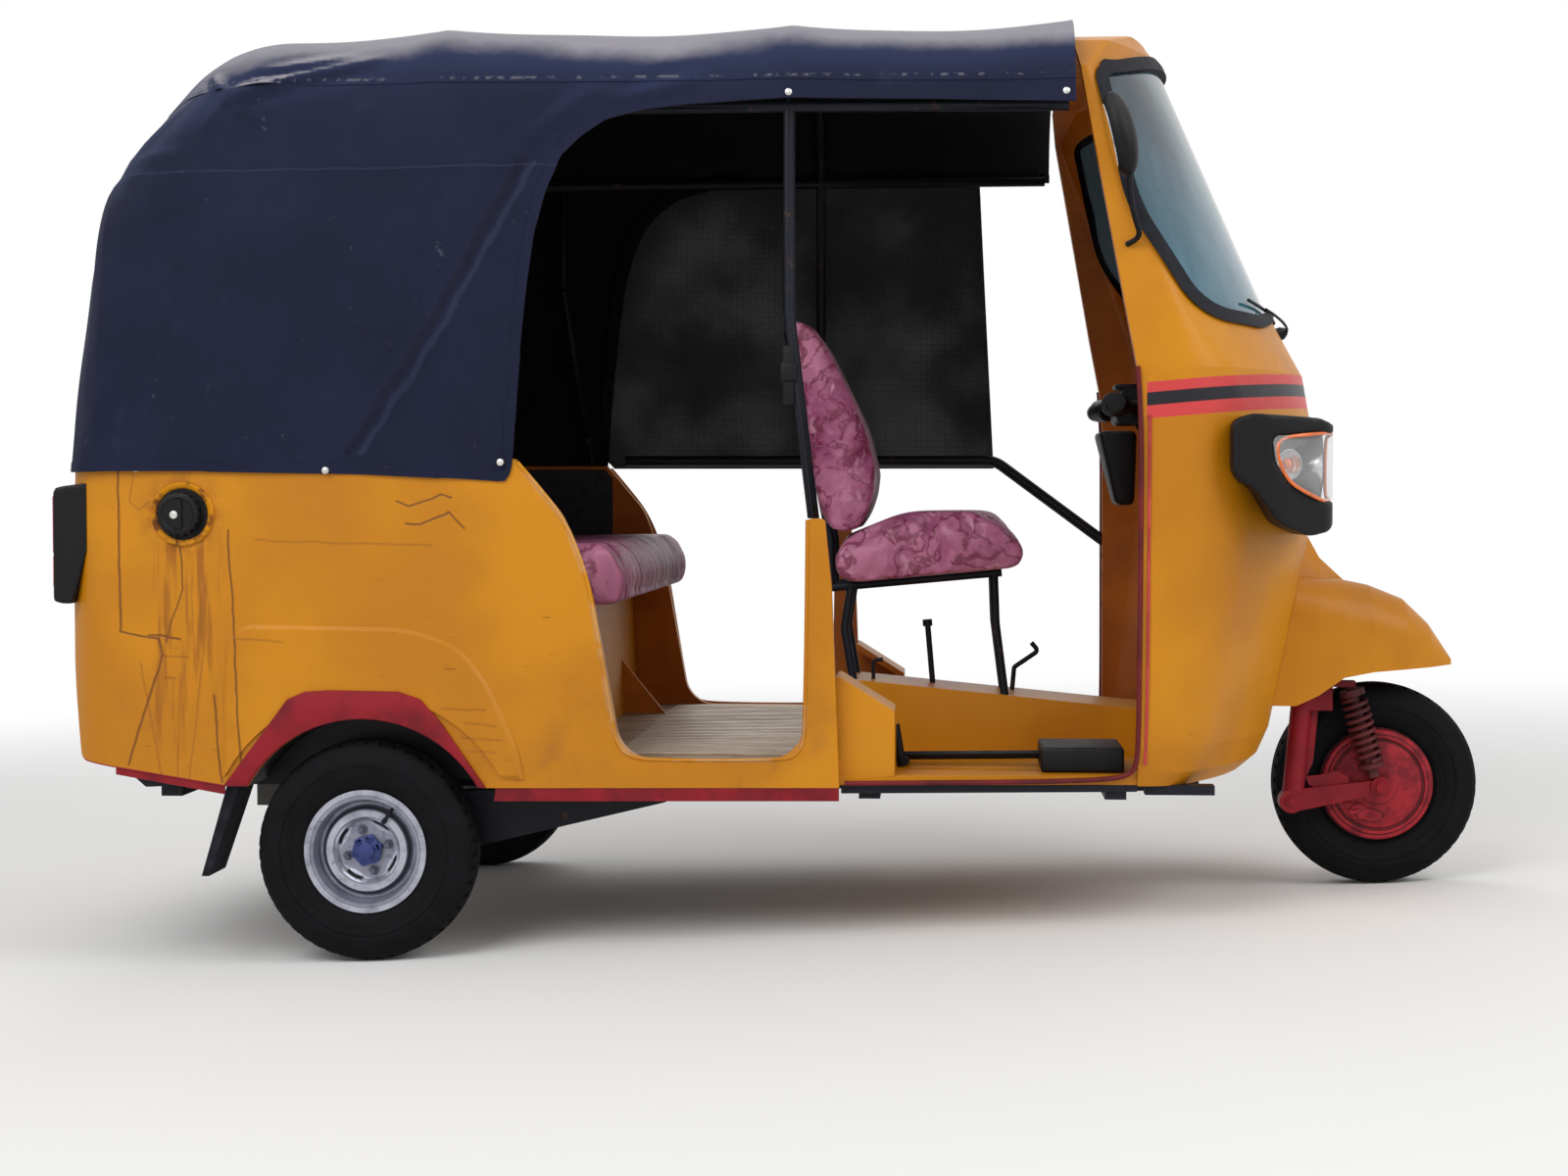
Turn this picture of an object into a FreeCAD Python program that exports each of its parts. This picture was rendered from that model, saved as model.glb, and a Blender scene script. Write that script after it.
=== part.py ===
import FreeCAD, Part
import math
import os

# Three-wheeled passenger auto rickshaw, in millimetres.
# While it is drawn, X runs forward from the rear axle, Y to the left, and Z up from the rear
# wheels' contact. The body sits nose-down on its springs, so settle() turns the whole
# vehicle until all three wheels stand on the floor, and moves its middle over the origin.

V = FreeCAD.Vector

# Fits
seat_gap = 0.3                  # clearance between pieces that seat on each other
cloth_gap = 1.0                 # between the hood and the body side that it laps

# Wheels and stance
wheelbase = 1965.0
front_axle_rise = 73.0          # front axle above the rear one, measured square to the floor pan
rear_track = 1200.0
tyre_radius = 207.5
tyre_width = 110.0
bead_radius = 104.0
rim_flange_radius = 115.5
rim_width = 88.0
rim_lip = 6.0                   # thickness of the rim's wall at its flange
disc_face = 12.0                # outer face of the wheel disc, outboard of the wheel's middle
disc_thickness = 6.0
rear_drum_radius = 80.0
rear_drum_depth = 68.0
hub_cap_radius = 26.0
stud_circle = 40.0              # radius on which the studs stand
stud_radius = 5.0
stud_proud = 12.0               # stud past its nut
stud_count = 4
stud_turn_right = 16.0          # how far each wheel stands turned
stud_turn_left = 52.0
stud_turn_front = 34.0
nut_radius = 9.5
nut_height = 8.0
axle_radius = 10.0
hub_radius = 44.0

# Body tub
wall = 28.0                     # whole thickness of a body side, skin to inner panel
sill_bottom = 330.0
sill_top = 382.0
tub_top = 940.0
tub_half_width = 655.0
taper_start = 250.0             # from here forward the body side narrows
pillar_half_width = 612.0       # body side at the middle pillar
pillar_front = 885.0
pillar_back = 826.0
pillar_top = 830.0
tub_tail = -577.0
tub_corner = 110.0
opening_corner = 70.0
arch_radius = 250.0
arch_band = 46.0                # width of the painted flare round the wheel arch
flare_out = 12.0
haunch_out = 5.0                # pressed swelling of the side round the wheel arch
haunch_slope = 9.0
housing_wall = 12.0
housing_inboard = 505.0
filler_x = -337.0
filler_drop = 102.0             # fuel filler's middle below the tub's top
filler_radius = 52.0

# Engine lid in the tail
lid_half_width = 360.0
lid_bottom = 420.0
lid_top = 800.0
lid_corner = 30.0
lid_gap = 5.0
louvre_count = 5
louvre_pitch = 26.0
louvre_height = 9.0
louvre_half_width = 150.0
lid_wall = 17.0
hinge_x = -571.5
hinge_y = 220.0
hinge_z = 813.0
hinge_radius = 6.0
hinge_pin = 3.0
knuckle_half = 15.0
bracket_width = 14.0

# Floors and frame
rail_y = 260.0                  # middle of each frame rail
rail_half = 22.0
floor_thickness = 18.0
driver_floor_top = 350.0
step_thickness = 12.0
tunnel_half_width = 120.0
tunnel_back_height = 489.0
tunnel_front_height = 443.0
tunnel_wall = 12.0
rib_pitch = 32.0
rib_height = 4.0
rib_width = 14.0

# Passenger bench
shelf_top = 666.7               # top of the box that carries the bench
shelf_wall = 12.0
box_foot = 360.0
box_side_gap = 41.0             # from each side of the tub to the box, the cushion and the backrest
bench_side_gap = 70.0
backrest_side_gap = 95.0
box_half_width = tub_half_width - box_side_gap
brace_y = 360.0
brace_reach = 92.0
bench_front = 482.0
bench_top = 772.0
bench_half_width = tub_half_width - bench_side_gap
backrest_half_width = tub_half_width - backrest_side_gap
backrest_top = 1180.0
bulkhead_foot = 10.0
bulkhead_lean = 0.395           # run to the rear for each mm of height

# Cab
cab_wall = 30.0
door_edge = 1440.0              # front edge of the driver's opening
toe_run = 200.0                 # length of the toe board, forward of the door
cab_floor_front = door_edge + toe_run
toe_half_width = 560.0
nose_arc = 880.0                # plan radius of the nose and of the windscreen
nose_hole_half = 138.0          # opening under the fender, where the fork swings
nose_hole_top = 625.0
glass_thickness = 5.0
glass_depth = 6.0               # glass below the cab's outer surface
seal_width = 26.0
seal_lap = 14.0                 # how far the seal reaches over the glass
seal_proud = 7.0

# Front fender
fender_skin = 9.0
fender_hollow_front = 2096.0

# Steering
steer_foot = V(1795, 0, 490)    # a point on the steering axis, in the middle plane
steer_angle = 30.0              # from the vertical, top towards the driver
column_radius = 16.0
column_play = 1.0
column_foot = -10.0             # lower end of the column, along the steering axis
head_radius = 29.0
head_low = 14.0
head_high = 236.0
head_shelf_z = 640.0
handlebar_height = 1052.0
bar_radius = 11.0
fork_radius = 22.0
fork_side = -87.0               # the single leg runs down the right of the wheel
link_pivot = V(1785, 0, 250)
link_boss = 24.0
link_eye = 20.0                 # radius of the link's eye on the axle
link_half_thickness = 9.0
plate_face = -63.0              # outer face of the brake back plate
plate_radius = 112.0
spring_radius = 27.0
spring_wire = 4.5
spring_turns = 9
runs_per_turn = 14
spring_top = V(1904, -91, 484)
spring_seat = 9.0
damper_radius = 12.0

# Hood
hood_skin = 6.0
hood_lap = 20.0                 # how far the hood hangs over the tub's top edge
hood_front = 1318.0
hood_front_half_width = 616.0
hood_top = 1790.0
hood_shoulder = 165.0
hood_overrun = 50.0             # how far the raw hood runs past its front edge and hem

# Tubes
bow_radius = 11.0
rail_radius = 12.5
cant_height = 1592.0
post_x = 791.0
post_y = 590.0
post_foot_x = 838.0
post_foot_y = 598.0
rear_post_x = -300.0
rear_post_y = 600.0
stay_radius = 6.0
stay_y = 606.0
rail_height = 952.0

# Seats and their frame
frame_tube = 9.0
frame_half = 95.0
cushion_back = V(858, 0, 694)   # underside of the driver's cushion, rear and front
cushion_front = V(1228, 0, 728)
cushion_half_width = 225.0
driver_back_half_width = 205.0

stance_turn = math.degrees(math.atan2(front_axle_rise, wheelbase))
front_axle = V(wheelbase, 0, tyre_radius + front_axle_rise)
rear_axle_height = tyre_radius
steer_down = V(math.sin(math.radians(steer_angle)), 0, -math.cos(math.radians(steer_angle)))
hood_hem = tub_top - hood_lap
rail_side = post_foot_y + bow_radius + seat_gap + rail_radius
cab_rear_top = hood_front + seat_gap
beyond = tub_half_width + 105.0 # further out than any side of the vehicle


def rounded_wire(points):
    """Closed wire through corners (point, radius); a radius of 0 keeps the corner sharp."""
    count = len(points)
    starts, ends, middles = [], [], []
    for i, (corner, radius) in enumerate(points):
        before, after = points[i - 1][0], points[(i + 1) % count][0]
        if radius <= 0:
            starts.append(corner)
            ends.append(corner)
            middles.append(None)
            continue
        into = (before - corner).normalize()
        out = (after - corner).normalize()
        half = into.getAngle(out) / 2
        reach = radius / math.tan(half)
        bisector = (into + out).normalize()
        centre = corner + bisector * (radius / math.sin(half))
        starts.append(corner + into * reach)
        ends.append(corner + out * reach)
        middles.append(centre - bisector * radius)
    edges = []
    for i in range(count):
        if middles[i] is not None:
            edges.append(Part.Arc(starts[i], middles[i], ends[i]).toShape())
        following = (i + 1) % count
        if (starts[following] - ends[i]).Length > 1e-4:
            edges.append(Part.LineSegment(ends[i], starts[following]).toShape())
    return Part.Wire(edges)


def prism(points, along, inset):
    """Extrusion of a closed outline, drawn in by inset (or grown, where inset is negative)."""
    wire = rounded_wire(points)
    if inset:
        wire = wire.makeOffset2D(-inset)
    return Part.Face(wire).extrude(along)


def side_prism(points, y_from, y_to, inset=0.0):
    """Outline of (x, z, corner radius) in side view, extruded across the vehicle."""
    return prism([(V(x, y_from, z), r) for x, z, r in points], V(0, y_to - y_from, 0), inset)


def plan_prism(points, z_from, z_to, inset=0.0):
    """Outline of (x, y, corner radius) in plan, extruded upwards."""
    return prism([(V(x, y, z_from), r) for x, y, r in points], V(0, 0, z_to - z_from), inset)


def front_prism(points, x_from, x_to, inset=0.0):
    """Outline of (y, z, corner radius) seen from the front, extruded along the vehicle."""
    return prism([(V(x_from, y, z), r) for y, z, r in points], V(x_to - x_from, 0, 0), inset)


def block(x0, x1, y0, y1, z0, z1):
    return Part.makeBox(x1 - x0, y1 - y0, z1 - z0, V(x0, y0, z0))


def rod(start, end, radius):
    return Part.makeCylinder(radius, (end - start).Length, start, end - start)


def cross_rod(centre, y_from, y_to, radius):
    """Round bar across the vehicle, through centre."""
    return rod(V(centre.x, y_from, centre.z), V(centre.x, y_to, centre.z), radius)


def tube(points, radius, bends):
    """Round bar through points, with a tangent bend of its own radius at each inner point."""
    if not isinstance(bends, list):
        bends = [bends] * (len(points) - 2)
    edges = []
    at = points[0]
    for i in range(1, len(points) - 1):
        corner = points[i]
        into = (points[i - 1] - corner).normalize()
        out = (points[i + 1] - corner).normalize()
        half = into.getAngle(out) / 2
        bend = bends[i - 1]
        reach = bend / math.tan(half)
        bisector = (into + out).normalize()
        middle = corner + bisector * (bend / math.sin(half) - bend)
        edges.append(Part.LineSegment(at, corner + into * reach).toShape())
        edges.append(Part.Arc(corner + into * reach, middle, corner + out * reach).toShape())
        at = corner + out * reach
    edges.append(Part.LineSegment(at, points[-1]).toShape())
    ring = Part.Wire(Part.Circle(points[0], points[1] - points[0], radius).toShape())
    return Part.Wire(edges).makePipeShell([ring], True, False)


def turned(profile, centre):
    """Revolve (y, r, corner radius) points about the cross axis through centre."""
    wire = rounded_wire([(V(centre.x, centre.y + y, centre.z + r), c) for y, r, c in profile])
    return Part.Face(wire).revolve(centre, V(0, 1, 0), 360)


def mirrored(shape):
    return shape.mirror(V(0, 0, 0), V(0, 1, 0))


def both_sides(shape):
    return Part.makeCompound([shape, mirrored(shape)])


def joined(shapes):
    whole = shapes[0]
    for shape in shapes[1:]:
        whole = whole.fuse(shape)
    return whole.removeSplitter()


# Body tub

tail_foot = (-545, 375, 20)
tail_swell = (-577, 620, 700)
tail_head = (-556, tub_top, 0)
# side outline of the tub: x, z, corner radius
tub_outline = [
    tail_foot, (-262, sill_bottom, 0), (pillar_front, sill_bottom, 0),
    (pillar_front - 14, 700, 300), (pillar_front - 27, pillar_top, 8),
    (pillar_back, pillar_top, 8), (pillar_back - 4, 480, 0), (pillar_back - 8, sill_top, opening_corner),
    (482, sill_top, opening_corner), (424, 703, 260), (374, 836, 120), (286, tub_top, 0),
    tail_head, tail_swell,
]
tail_outline = [tail_foot, (-300, sill_bottom, 0), (-300, tub_top, 0), tail_head, tail_swell]
# edge of the pressed haunch round the wheel: x, z, corner radius
haunch_outline = [
    (-268, 345, 0), (302, 345, 0), (292, 400, 200), (240, 521, 200), (188, 592, 130), (94, 629, 300),
    (-225, 634, 50), (-262, 600, 50),
]


def body_half_width(x):
    """Half width of the body side at x: full at the rear wheels, narrower at the cab."""
    share = max(0.0, (x - taper_start) / (pillar_front - taper_start))
    return tub_half_width + share * (pillar_half_width - tub_half_width)


def tub_plan(inset, front):
    """Plan of the tub with square corners at x = front."""
    half = tub_half_width - inset
    tip = body_half_width(front) - inset
    corner = tub_corner - inset
    tail = tub_tail + inset
    return [
        (front, tip, 0), (taper_start, half, 0), (tail, half, corner),
        (tail, -half, corner), (taper_start, -half, 0), (front, -tip, 0),
    ]


def tail_block(grow):
    """Outer volume of the tail, used to seat what is fixed on it."""
    plan = plan_prism(tub_plan(-grow, pillar_front), sill_bottom - 30, tub_top + 20)
    return plan.common(side_prism(tail_outline, -beyond, beyond, -grow))


def body_tub():
    """Body sides with sills and middle pillars, and the tail panel, as one pressed shell."""
    outer = plan_prism(tub_plan(0, pillar_front), sill_bottom, tub_top)
    inner = plan_prism(tub_plan(wall, pillar_front + 10), sill_bottom - 10, tub_top + 10)
    shell = outer.cut(inner).common(side_prism(tub_outline, -beyond, beyond))
    shell = shell.cut(rod(V(0, -beyond, rear_axle_height), V(0, beyond, rear_axle_height), arch_radius))
    whole = joined([shell, haunch(), mirrored(haunch())])
    return joined([whole.cut(lid_outline(lid_gap / 2))] + hinge_brackets())


def haunch():
    """Raised pressing round the right wheel arch, with a sloping edge."""
    face = -tub_half_width
    foot = rounded_wire([(V(x, face + 1, z), r) for x, z, r in haunch_outline])
    crest = rounded_wire([(V(x, face - haunch_out, z), r) for x, z, r in haunch_outline])
    crest = crest.makeOffset2D(-haunch_slope)
    pad = Part.makeLoft([foot, crest], True, True)
    hub = V(0, 0, rear_axle_height)
    return pad.cut(cross_rod(hub, -beyond, 0, arch_radius + arch_band + seat_gap))


def arch_flares():
    """Red flare round each rear wheel arch, standing proud of the side."""
    hub = V(0, 0, rear_axle_height)
    face = -tub_half_width
    ring = cross_rod(hub, face - flare_out, face - seat_gap, arch_radius + arch_band)
    ring = ring.cut(cross_rod(hub, -beyond, 0, arch_radius))
    return both_sides(ring.common(block(-400, 400, -beyond, 0, sill_bottom, 700)))


def lid_outline(grow):
    """Opening in the tail behind the engine, grown on all sides."""
    w = lid_half_width + grow
    low, high = lid_bottom - grow, lid_top + grow
    corners = [(w, low, lid_corner), (w, high, lid_corner), (-w, high, lid_corner), (-w, low, lid_corner)]
    return front_prism(corners, tub_tail - 60, tub_tail + 90)


def lid_hinge(side):
    """Axis point of one lid hinge, at the middle of its lid knuckle."""
    return V(hinge_x, side * hinge_y, hinge_z)


def tail_lid():
    """Engine lid: a pressed panel with louvres, and its hinge straps."""
    outer = plan_prism(tub_plan(0, pillar_front), lid_bottom, lid_top)
    inner = plan_prism(tub_plan(lid_wall, pillar_front + 10), lid_bottom - 10, lid_top + 10)
    panel = outer.cut(inner).common(side_prism(tail_outline, -beyond, beyond))
    lid = panel.common(lid_outline(-lid_gap / 2))
    for row in range(louvre_count):
        z = lid_bottom + 60 + louvre_pitch * row
        w = louvre_half_width
        lid = lid.cut(block(tub_tail - 20, tub_tail + 60, -w, w, z, z + louvre_height))
    parts = [lid]
    for side in (-1, 1):
        c = lid_hinge(side)
        y0, y1 = c.y - knuckle_half, c.y + knuckle_half
        edge = lid_top - lid_gap
        foot = block(c.x - 4, c.x + 12, y0, y1, edge - 31, edge).cut(tail_block(-3))
        neck = block(c.x - 4, c.x + 12, y0, y1, edge - 6, c.z).cut(tail_block(1.0))
        bore = cross_rod(c, y0 - 15, y1 + 15, hinge_pin + seat_gap)
        parts.append(joined([cross_rod(c, y0, y1, hinge_radius), foot, neck]).cut(bore))
    return joined(parts)


def hinge_brackets():
    """Fixed halves of the lid hinges with their pins."""
    made = []
    for side in (-1, 1):
        c = lid_hinge(side)
        pin_end = knuckle_half + bracket_width - 1
        made.append(cross_rod(c, c.y - pin_end, c.y + pin_end, hinge_pin))
        for end in (-1, 1):
            near = c.y + end * (knuckle_half + seat_gap)
            far = near + end * bracket_width
            made.append(cross_rod(c, near, far, hinge_radius))
            made.append(block(c.x, c.x + 14, min(near, far), max(near, far), c.z - 5, c.z + 5))
    return made


def wheel_housing():
    """Inner wheel box that closes the tub over the right rear wheel."""
    hub = V(0, 0, rear_axle_height)
    reach = tub_half_width - wall - seat_gap
    outer = cross_rod(hub, -reach, -housing_inboard, arch_radius + housing_wall)
    hollow = cross_rod(hub, -reach - 5, -housing_inboard - housing_wall, arch_radius)
    return outer.cut(hollow).common(block(-400, 400, -beyond, 0, sill_bottom, 700))


def bulkhead_face(z):
    """Front face of the sloping wall behind the bench, at height z."""
    return bulkhead_foot - (z - shelf_top) * bulkhead_lean


def rear_bulkhead():
    """Sloping wall behind the bench, between cabin and engine bay."""
    z0, z1 = shelf_top + seat_gap, tub_top - 20
    x0, x1 = bulkhead_face(z0), bulkhead_face(z1)
    reach = tub_half_width - wall - seat_gap
    outline = [(x0 - shelf_wall, z0, 0), (x0, z0, 0), (x1, z1, 0), (x1 - shelf_wall, z1, 0)]
    return side_prism(outline, -reach, reach)


def inner_panels():
    """Wheel boxes and the bulkhead behind the bench."""
    return Part.makeCompound([both_sides(wheel_housing()), rear_bulkhead()])


def mud_flaps():
    """Flap behind each rear wheel, hung under the wheel box's rear edge."""
    z0 = sill_bottom - seat_gap
    outline = [(-262, z0, 0), (-238, z0, 0), (-298, 158, 0), (-312, 158, 0)]
    return both_sides(side_prism(outline, -640, -530))


def fuel_cap():
    """Filler cup on the right rear quarter, with its screw cap."""
    y = -tub_half_width
    c = V(filler_x, 0, tub_top - filler_drop)
    cup = cross_rod(c, y - 6, y - seat_gap, filler_radius).cut(cross_rod(c, y - 20, y - 3, filler_radius - 8))
    return joined([cup, cross_rod(c, y - 22, y - 3, filler_radius - 18)])


def tail_lamps():
    outline = [(-592, 672, 10), (-556, 668, 10), (-500, 850, 30), (-505, 900, 20), (-590, 888, 12)]
    return both_sides(side_prism(outline, -640, -470).cut(tail_block(seat_gap)))


def plate_bracket():
    """Blank number plate on its pressed bracket, on the tail above the lid."""
    x = tub_tail - 24
    plate = block(x - 3, x, -140, 140, 826, 906)
    foot = block(x - 1, tub_tail + 60, -60, 60, 836, 896).cut(tail_block(seat_gap))
    return joined([plate, foot])


# Floors, bench box and frame

def passenger_floor():
    """Ribbed floor pan between the sills."""
    front = pillar_front - 10
    back = 300.0
    half = body_half_width(front) - wall - seat_gap
    half_back = body_half_width(back) - wall - seat_gap
    corners = [(front, half, 0), (back, half_back, 0), (back, -half_back, 0), (front, -half, 0)]
    pan = plan_prism(corners, sill_top - floor_thickness, sill_top)
    rib_start = box_foot + brace_reach + 8
    count = int((2 * half - 60) // rib_pitch)
    ribs = []
    for i in range(count):
        y = (i - (count - 1) / 2) * rib_pitch
        y0, y1 = y - rib_width / 2, y + rib_width / 2
        ribs.append(block(rib_start, front - 30, y0, y1, sill_top - 1, sill_top + rib_height))
    return joined([pan] + ribs)


def seat_box():
    """Front wall and shelf that carry the passenger bench, with two braces to the floor."""
    z0 = sill_top + seat_gap
    half = box_half_width
    head = box_foot - 14
    outline = [
        (box_foot - shelf_wall, z0, 0), (box_foot, z0, 0),
        (head, shelf_top, 0), (head - shelf_wall, shelf_top, 0),
    ]
    front = side_prism(outline, -half, half)
    shelf = block(-30, head, -half, half, shelf_top - shelf_wall, shelf_top)
    brace = [(box_foot - 2, z0, 0), (box_foot + brace_reach, z0, 0), (box_foot - 8, 506, 0)]
    braces = [side_prism(brace, y - 6, y + 6) for y in (-brace_y, brace_y)]
    return joined([front, shelf] + braces)


floor_back = pillar_front - 10 + seat_gap
floor_bottom = driver_floor_top - floor_thickness
tunnel_end = cab_floor_front - 60


def tunnel_block(grow):
    """Outer volume of the centre tunnel, used to seat what stands on it."""
    t = tunnel_half_width + grow
    low = driver_floor_top - 1
    front_top, back_top = tunnel_front_height - 15 + grow, tunnel_back_height + 8 + grow
    side = [(floor_back, low, 0), (tunnel_end, low, 0), (tunnel_end, front_top, 0), (floor_back, back_top, 0)]
    return side_prism(side, -t, t)


def toe_box():
    """Chamfered box beside the driver's seat, against the right middle pillar."""
    y0, y1 = -pillar_half_width + wall + 6, -430
    low = driver_floor_top - 1
    b = floor_back
    box = side_prism([(b, low, 0), (b + 112, low, 0), (b + 112, 470, 6), (b, 540, 6)], y0, y1)
    inner = [(b - 5, low - 5, 0), (b + 102, low - 5, 0), (b + 102, 462, 0), (b - 5, 528, 0)]
    return box.cut(side_prism(inner, y0 + 10, y1 + 20))


def driver_floor():
    """Foot well with its centre tunnel, and the step up to the passenger floor."""
    half_back = body_half_width(floor_back) - wall - seat_gap
    edge = door_edge - seat_gap
    half_edge = toe_half_width - 15
    corners = [
        (edge, half_edge, 0), (floor_back, half_back, 0), (floor_back, -half_back, 0), (edge, -half_edge, 0),
    ]
    pan = plan_prism(corners, floor_bottom, driver_floor_top)
    toe = block(edge - 60, cab_floor_front, -toe_half_width, toe_half_width, floor_bottom, driver_floor_top)
    toe = toe.common(cab_solid(-cab_wall - seat_gap, -200))
    t = tunnel_half_width - tunnel_wall
    low = floor_bottom - 5
    inner_end = tunnel_end - tunnel_wall
    inner = [
        (floor_back - 5, low, 0), (inner_end, low, 0),
        (inner_end, tunnel_front_height - 15 - tunnel_wall, 0), (floor_back - 5, tunnel_back_height - 4, 0),
    ]
    step_front = floor_back + step_thickness
    half_step = body_half_width(step_front) - wall - seat_gap
    step = block(floor_back, step_front, -half_step, half_step, driver_floor_top - 1, sill_top)
    whole = joined([pan, toe, tunnel_block(0), step, toe_box(), mirrored(toe_box())])
    return whole.cut(side_prism(inner, -t, t))


engine_box = (-330, 90, -190, 190, 236, 560)    # x, y and z limits of engine and gearbox


def engine_block():
    return block(*engine_box)


def engine_clearance():
    x0, x1, y0, y1, z0, z1 = engine_box
    g = seat_gap
    return block(x0 - g, x1 + g, y0 - g, y1 + g, z0 - 36, z1 + g)


def drive_shafts():
    """Shafts from the gearbox to the rear hubs."""
    inner, outer = engine_box[3] + seat_gap, 455 - seat_gap
    start = V(0, -inner + 20, rear_axle_height + 44)
    shaft = rod(start, V(0, -outer - 20, rear_axle_height), 14)
    return both_sides(shaft.common(block(-50, 50, -outer, -inner, 100, 400)))


def underframe():
    """Two rails with cross members, and the bearers that carry the engine."""
    top = floor_bottom - seat_gap
    rails = [block(-400, tunnel_end, y - rail_half, y + rail_half, 290, top) for y in (-rail_y, rail_y)]
    # cross member: middle x, half width, top
    under_cabin = sill_top - floor_thickness - seat_gap
    table = [(940, 558, top), (1400, 545, top), (610, 580, under_cabin), (-380, 600, top)]
    members = [block(x - 20, x + 20, -half, half, 304, high) for x, half, high in table]
    bearers = [block(x - 15, x + 15, -rail_y, rail_y, 296, 312) for x in (-300, 60)]
    return joined(rails + members + bearers).cut(engine_clearance())


def rear_arms():
    """Trailing arms that carry the rear hubs, hung on the frame rails."""
    outline = [(-40, 165, 20), (40, 165, 20), (560, 290, 20), (560, 328, 8), (60, 300, 40), (-40, 270, 30)]
    arm = side_prism(outline, -504, -462)
    pivot = cross_rod(V(530, 0, 308), -520, -rail_y - rail_half - seat_gap, 15)
    inner_face = -rear_track / 2 + rear_drum_depth - disc_thickness + seat_gap
    hub = cross_rod(V(0, 0, rear_axle_height), inner_face, -455, hub_radius)
    return both_sides(joined([arm, pivot, hub]))


# Cab

# cab sections: height, nose, half width, rear edge, corner radius
cab_sections = [
    (330, 1690, 548, door_edge, 90),
    (357, 1722, 556, door_edge, 110),
    (407, 1744, 566, door_edge, 140),
    (780, 1819, 592, door_edge, 160),
    (1020, 1822, 598, door_edge, 160),
    (1110, 1806, 600, door_edge - 8, 140),
    (1222, 1744, 598, door_edge - 30, 40),
    (1668, 1545, 560, cab_rear_top + 10, 22),
    (1728, 1519, 470, cab_rear_top, 22),
    (1765, 1490, 300, cab_rear_top, 22),
    (1797, 1435, 110, cab_rear_top, 22),
]
# windscreen opening seen from the side: x, z, corner radius
screen_outline = [
    (1362, 1672, 30), (1425, 1404, 260), (1556, 1212, 130), (1690, 1206, 60), (1735, 1232, 60),
    (2100, 1236, 0), (2100, 1738, 0), (1520, 1734, 90), (1400, 1676, 120),
]


def cab_section(level, nose, half, rear, corner):
    """Plan section: a wide front arc, a tighter arc at each corner, straight sides."""
    middle = nose - nose_arc
    run = math.sqrt((nose_arc - corner) ** 2 - (half - corner) ** 2)
    hub_x, hub_y = middle + run, half - corner
    reach = nose_arc / (nose_arc - corner)
    ease = (math.pi / 2 + math.atan2(hub_y, run)) / 2
    sides = []
    for s in (-1, 1):
        start = V(hub_x, s * half, level)
        mid = V(hub_x + corner * math.cos(ease), s * (hub_y + corner * math.sin(ease)), level)
        end = V(middle + run * reach, s * hub_y * reach, level)
        sides.append((start, mid, end))
    right, left = sides
    return Part.Wire([
        Part.LineSegment(V(rear, half, level), V(rear, -half, level)).toShape(),
        Part.LineSegment(V(rear, -half, level), right[0]).toShape(),
        Part.Arc(*right).toShape(),
        Part.Arc(right[2], V(nose, 0, level), left[2]).toShape(),
        Part.Arc(left[2], left[1], left[0]).toShape(),
        Part.LineSegment(left[0], V(rear, half, level)).toShape(),
    ])


def cab_solid(grow, rear_shift=0.0):
    """Cab outline grown by some thickness, lofted straight between its plan sections."""
    wires = []
    last = len(cab_sections) - 1
    for index, (z, nose, half, rear, corner) in enumerate(cab_sections):
        level = z
        if index == 0:
            level = z - abs(grow)
        if index == last:
            level = z + grow
        wires.append(cab_section(level, nose + grow, half + grow, rear + rear_shift, corner + grow * 0.5))
    return Part.makeLoft(wires, True, True)


def screen_prism(grow):
    return side_prism(screen_outline, -beyond, beyond, -grow)


def cab_shell():
    """Nose, cowl, windscreen frame and roof brow, one hollow pressing."""
    shell = cab_solid(0).cut(cab_solid(-cab_wall, -200)).cut(screen_prism(0))
    w = nose_hole_half
    return shell.cut(block(1600, 1900, -w, w, 300, nose_hole_top))


def screen_seal():
    """Rubber moulding that holds the windscreen in its frame."""
    band = cab_solid(seal_proud).cut(cab_solid(-glass_depth - glass_thickness - 6, -200))
    ring = screen_prism(seal_width - seal_lap).cut(screen_prism(-seal_lap))
    return band.common(ring).cut(cab_solid(seat_gap).cut(screen_prism(-seat_gap)))


def windscreen():
    glass = cab_solid(-glass_depth).cut(cab_solid(-glass_depth - glass_thickness, -200))
    return glass.common(screen_prism(-seal_lap - seat_gap))


# front fender sections: x, top, bottom edge, half width, shoulder radius
fender_sections = [
    (1700, 712, 449, 158, 60),
    (1786, 708, 449, 160, 70),
    (1830, 705, 470, 160, 80),
    (1882, 702, 506, 156, 90),
    (1942, 690, 517, 148, 90),
    (2012, 662, 522, 130, 80),
    (2064, 612, 525, 104, 55),
    (2111, 540, 528, 62, 5),
]
# ridge that runs from the nose down onto the fender: x, top, half width at its foot
fender_ridge = [(1770, 880, 70), (1815, 806, 60), (1850, 744, 52), (1900, 698, 40)]


def fender_solid(inset):
    """Fender outline lofted through its sections; the inner one runs out below."""
    wires = []
    for x, top, bottom, half, shoulder in fender_sections:
        w = half - inset
        t = top - inset
        low = bottom - (25 if inset else 0)
        r = min(shoulder, w - 8, t - low - 4)
        corners = [(V(x, -w, low), 0), (V(x, -w + 4, t), r), (V(x, w - 4, t), r), (V(x, w, low), 0)]
        wires.append(rounded_wire(corners))
    return Part.makeLoft(wires, True, True)


def ridge_solid():
    wires = []
    for x, top, foot in fender_ridge:
        low, crest = 650, foot * 0.35
        corners = [V(x, -foot, low), V(x, -crest, top), V(x, crest, top), V(x, foot, low)]
        wires.append(Part.Wire(Part.makePolygon(corners + [corners[0]])))
    return Part.makeLoft(wires, True, True)


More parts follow.
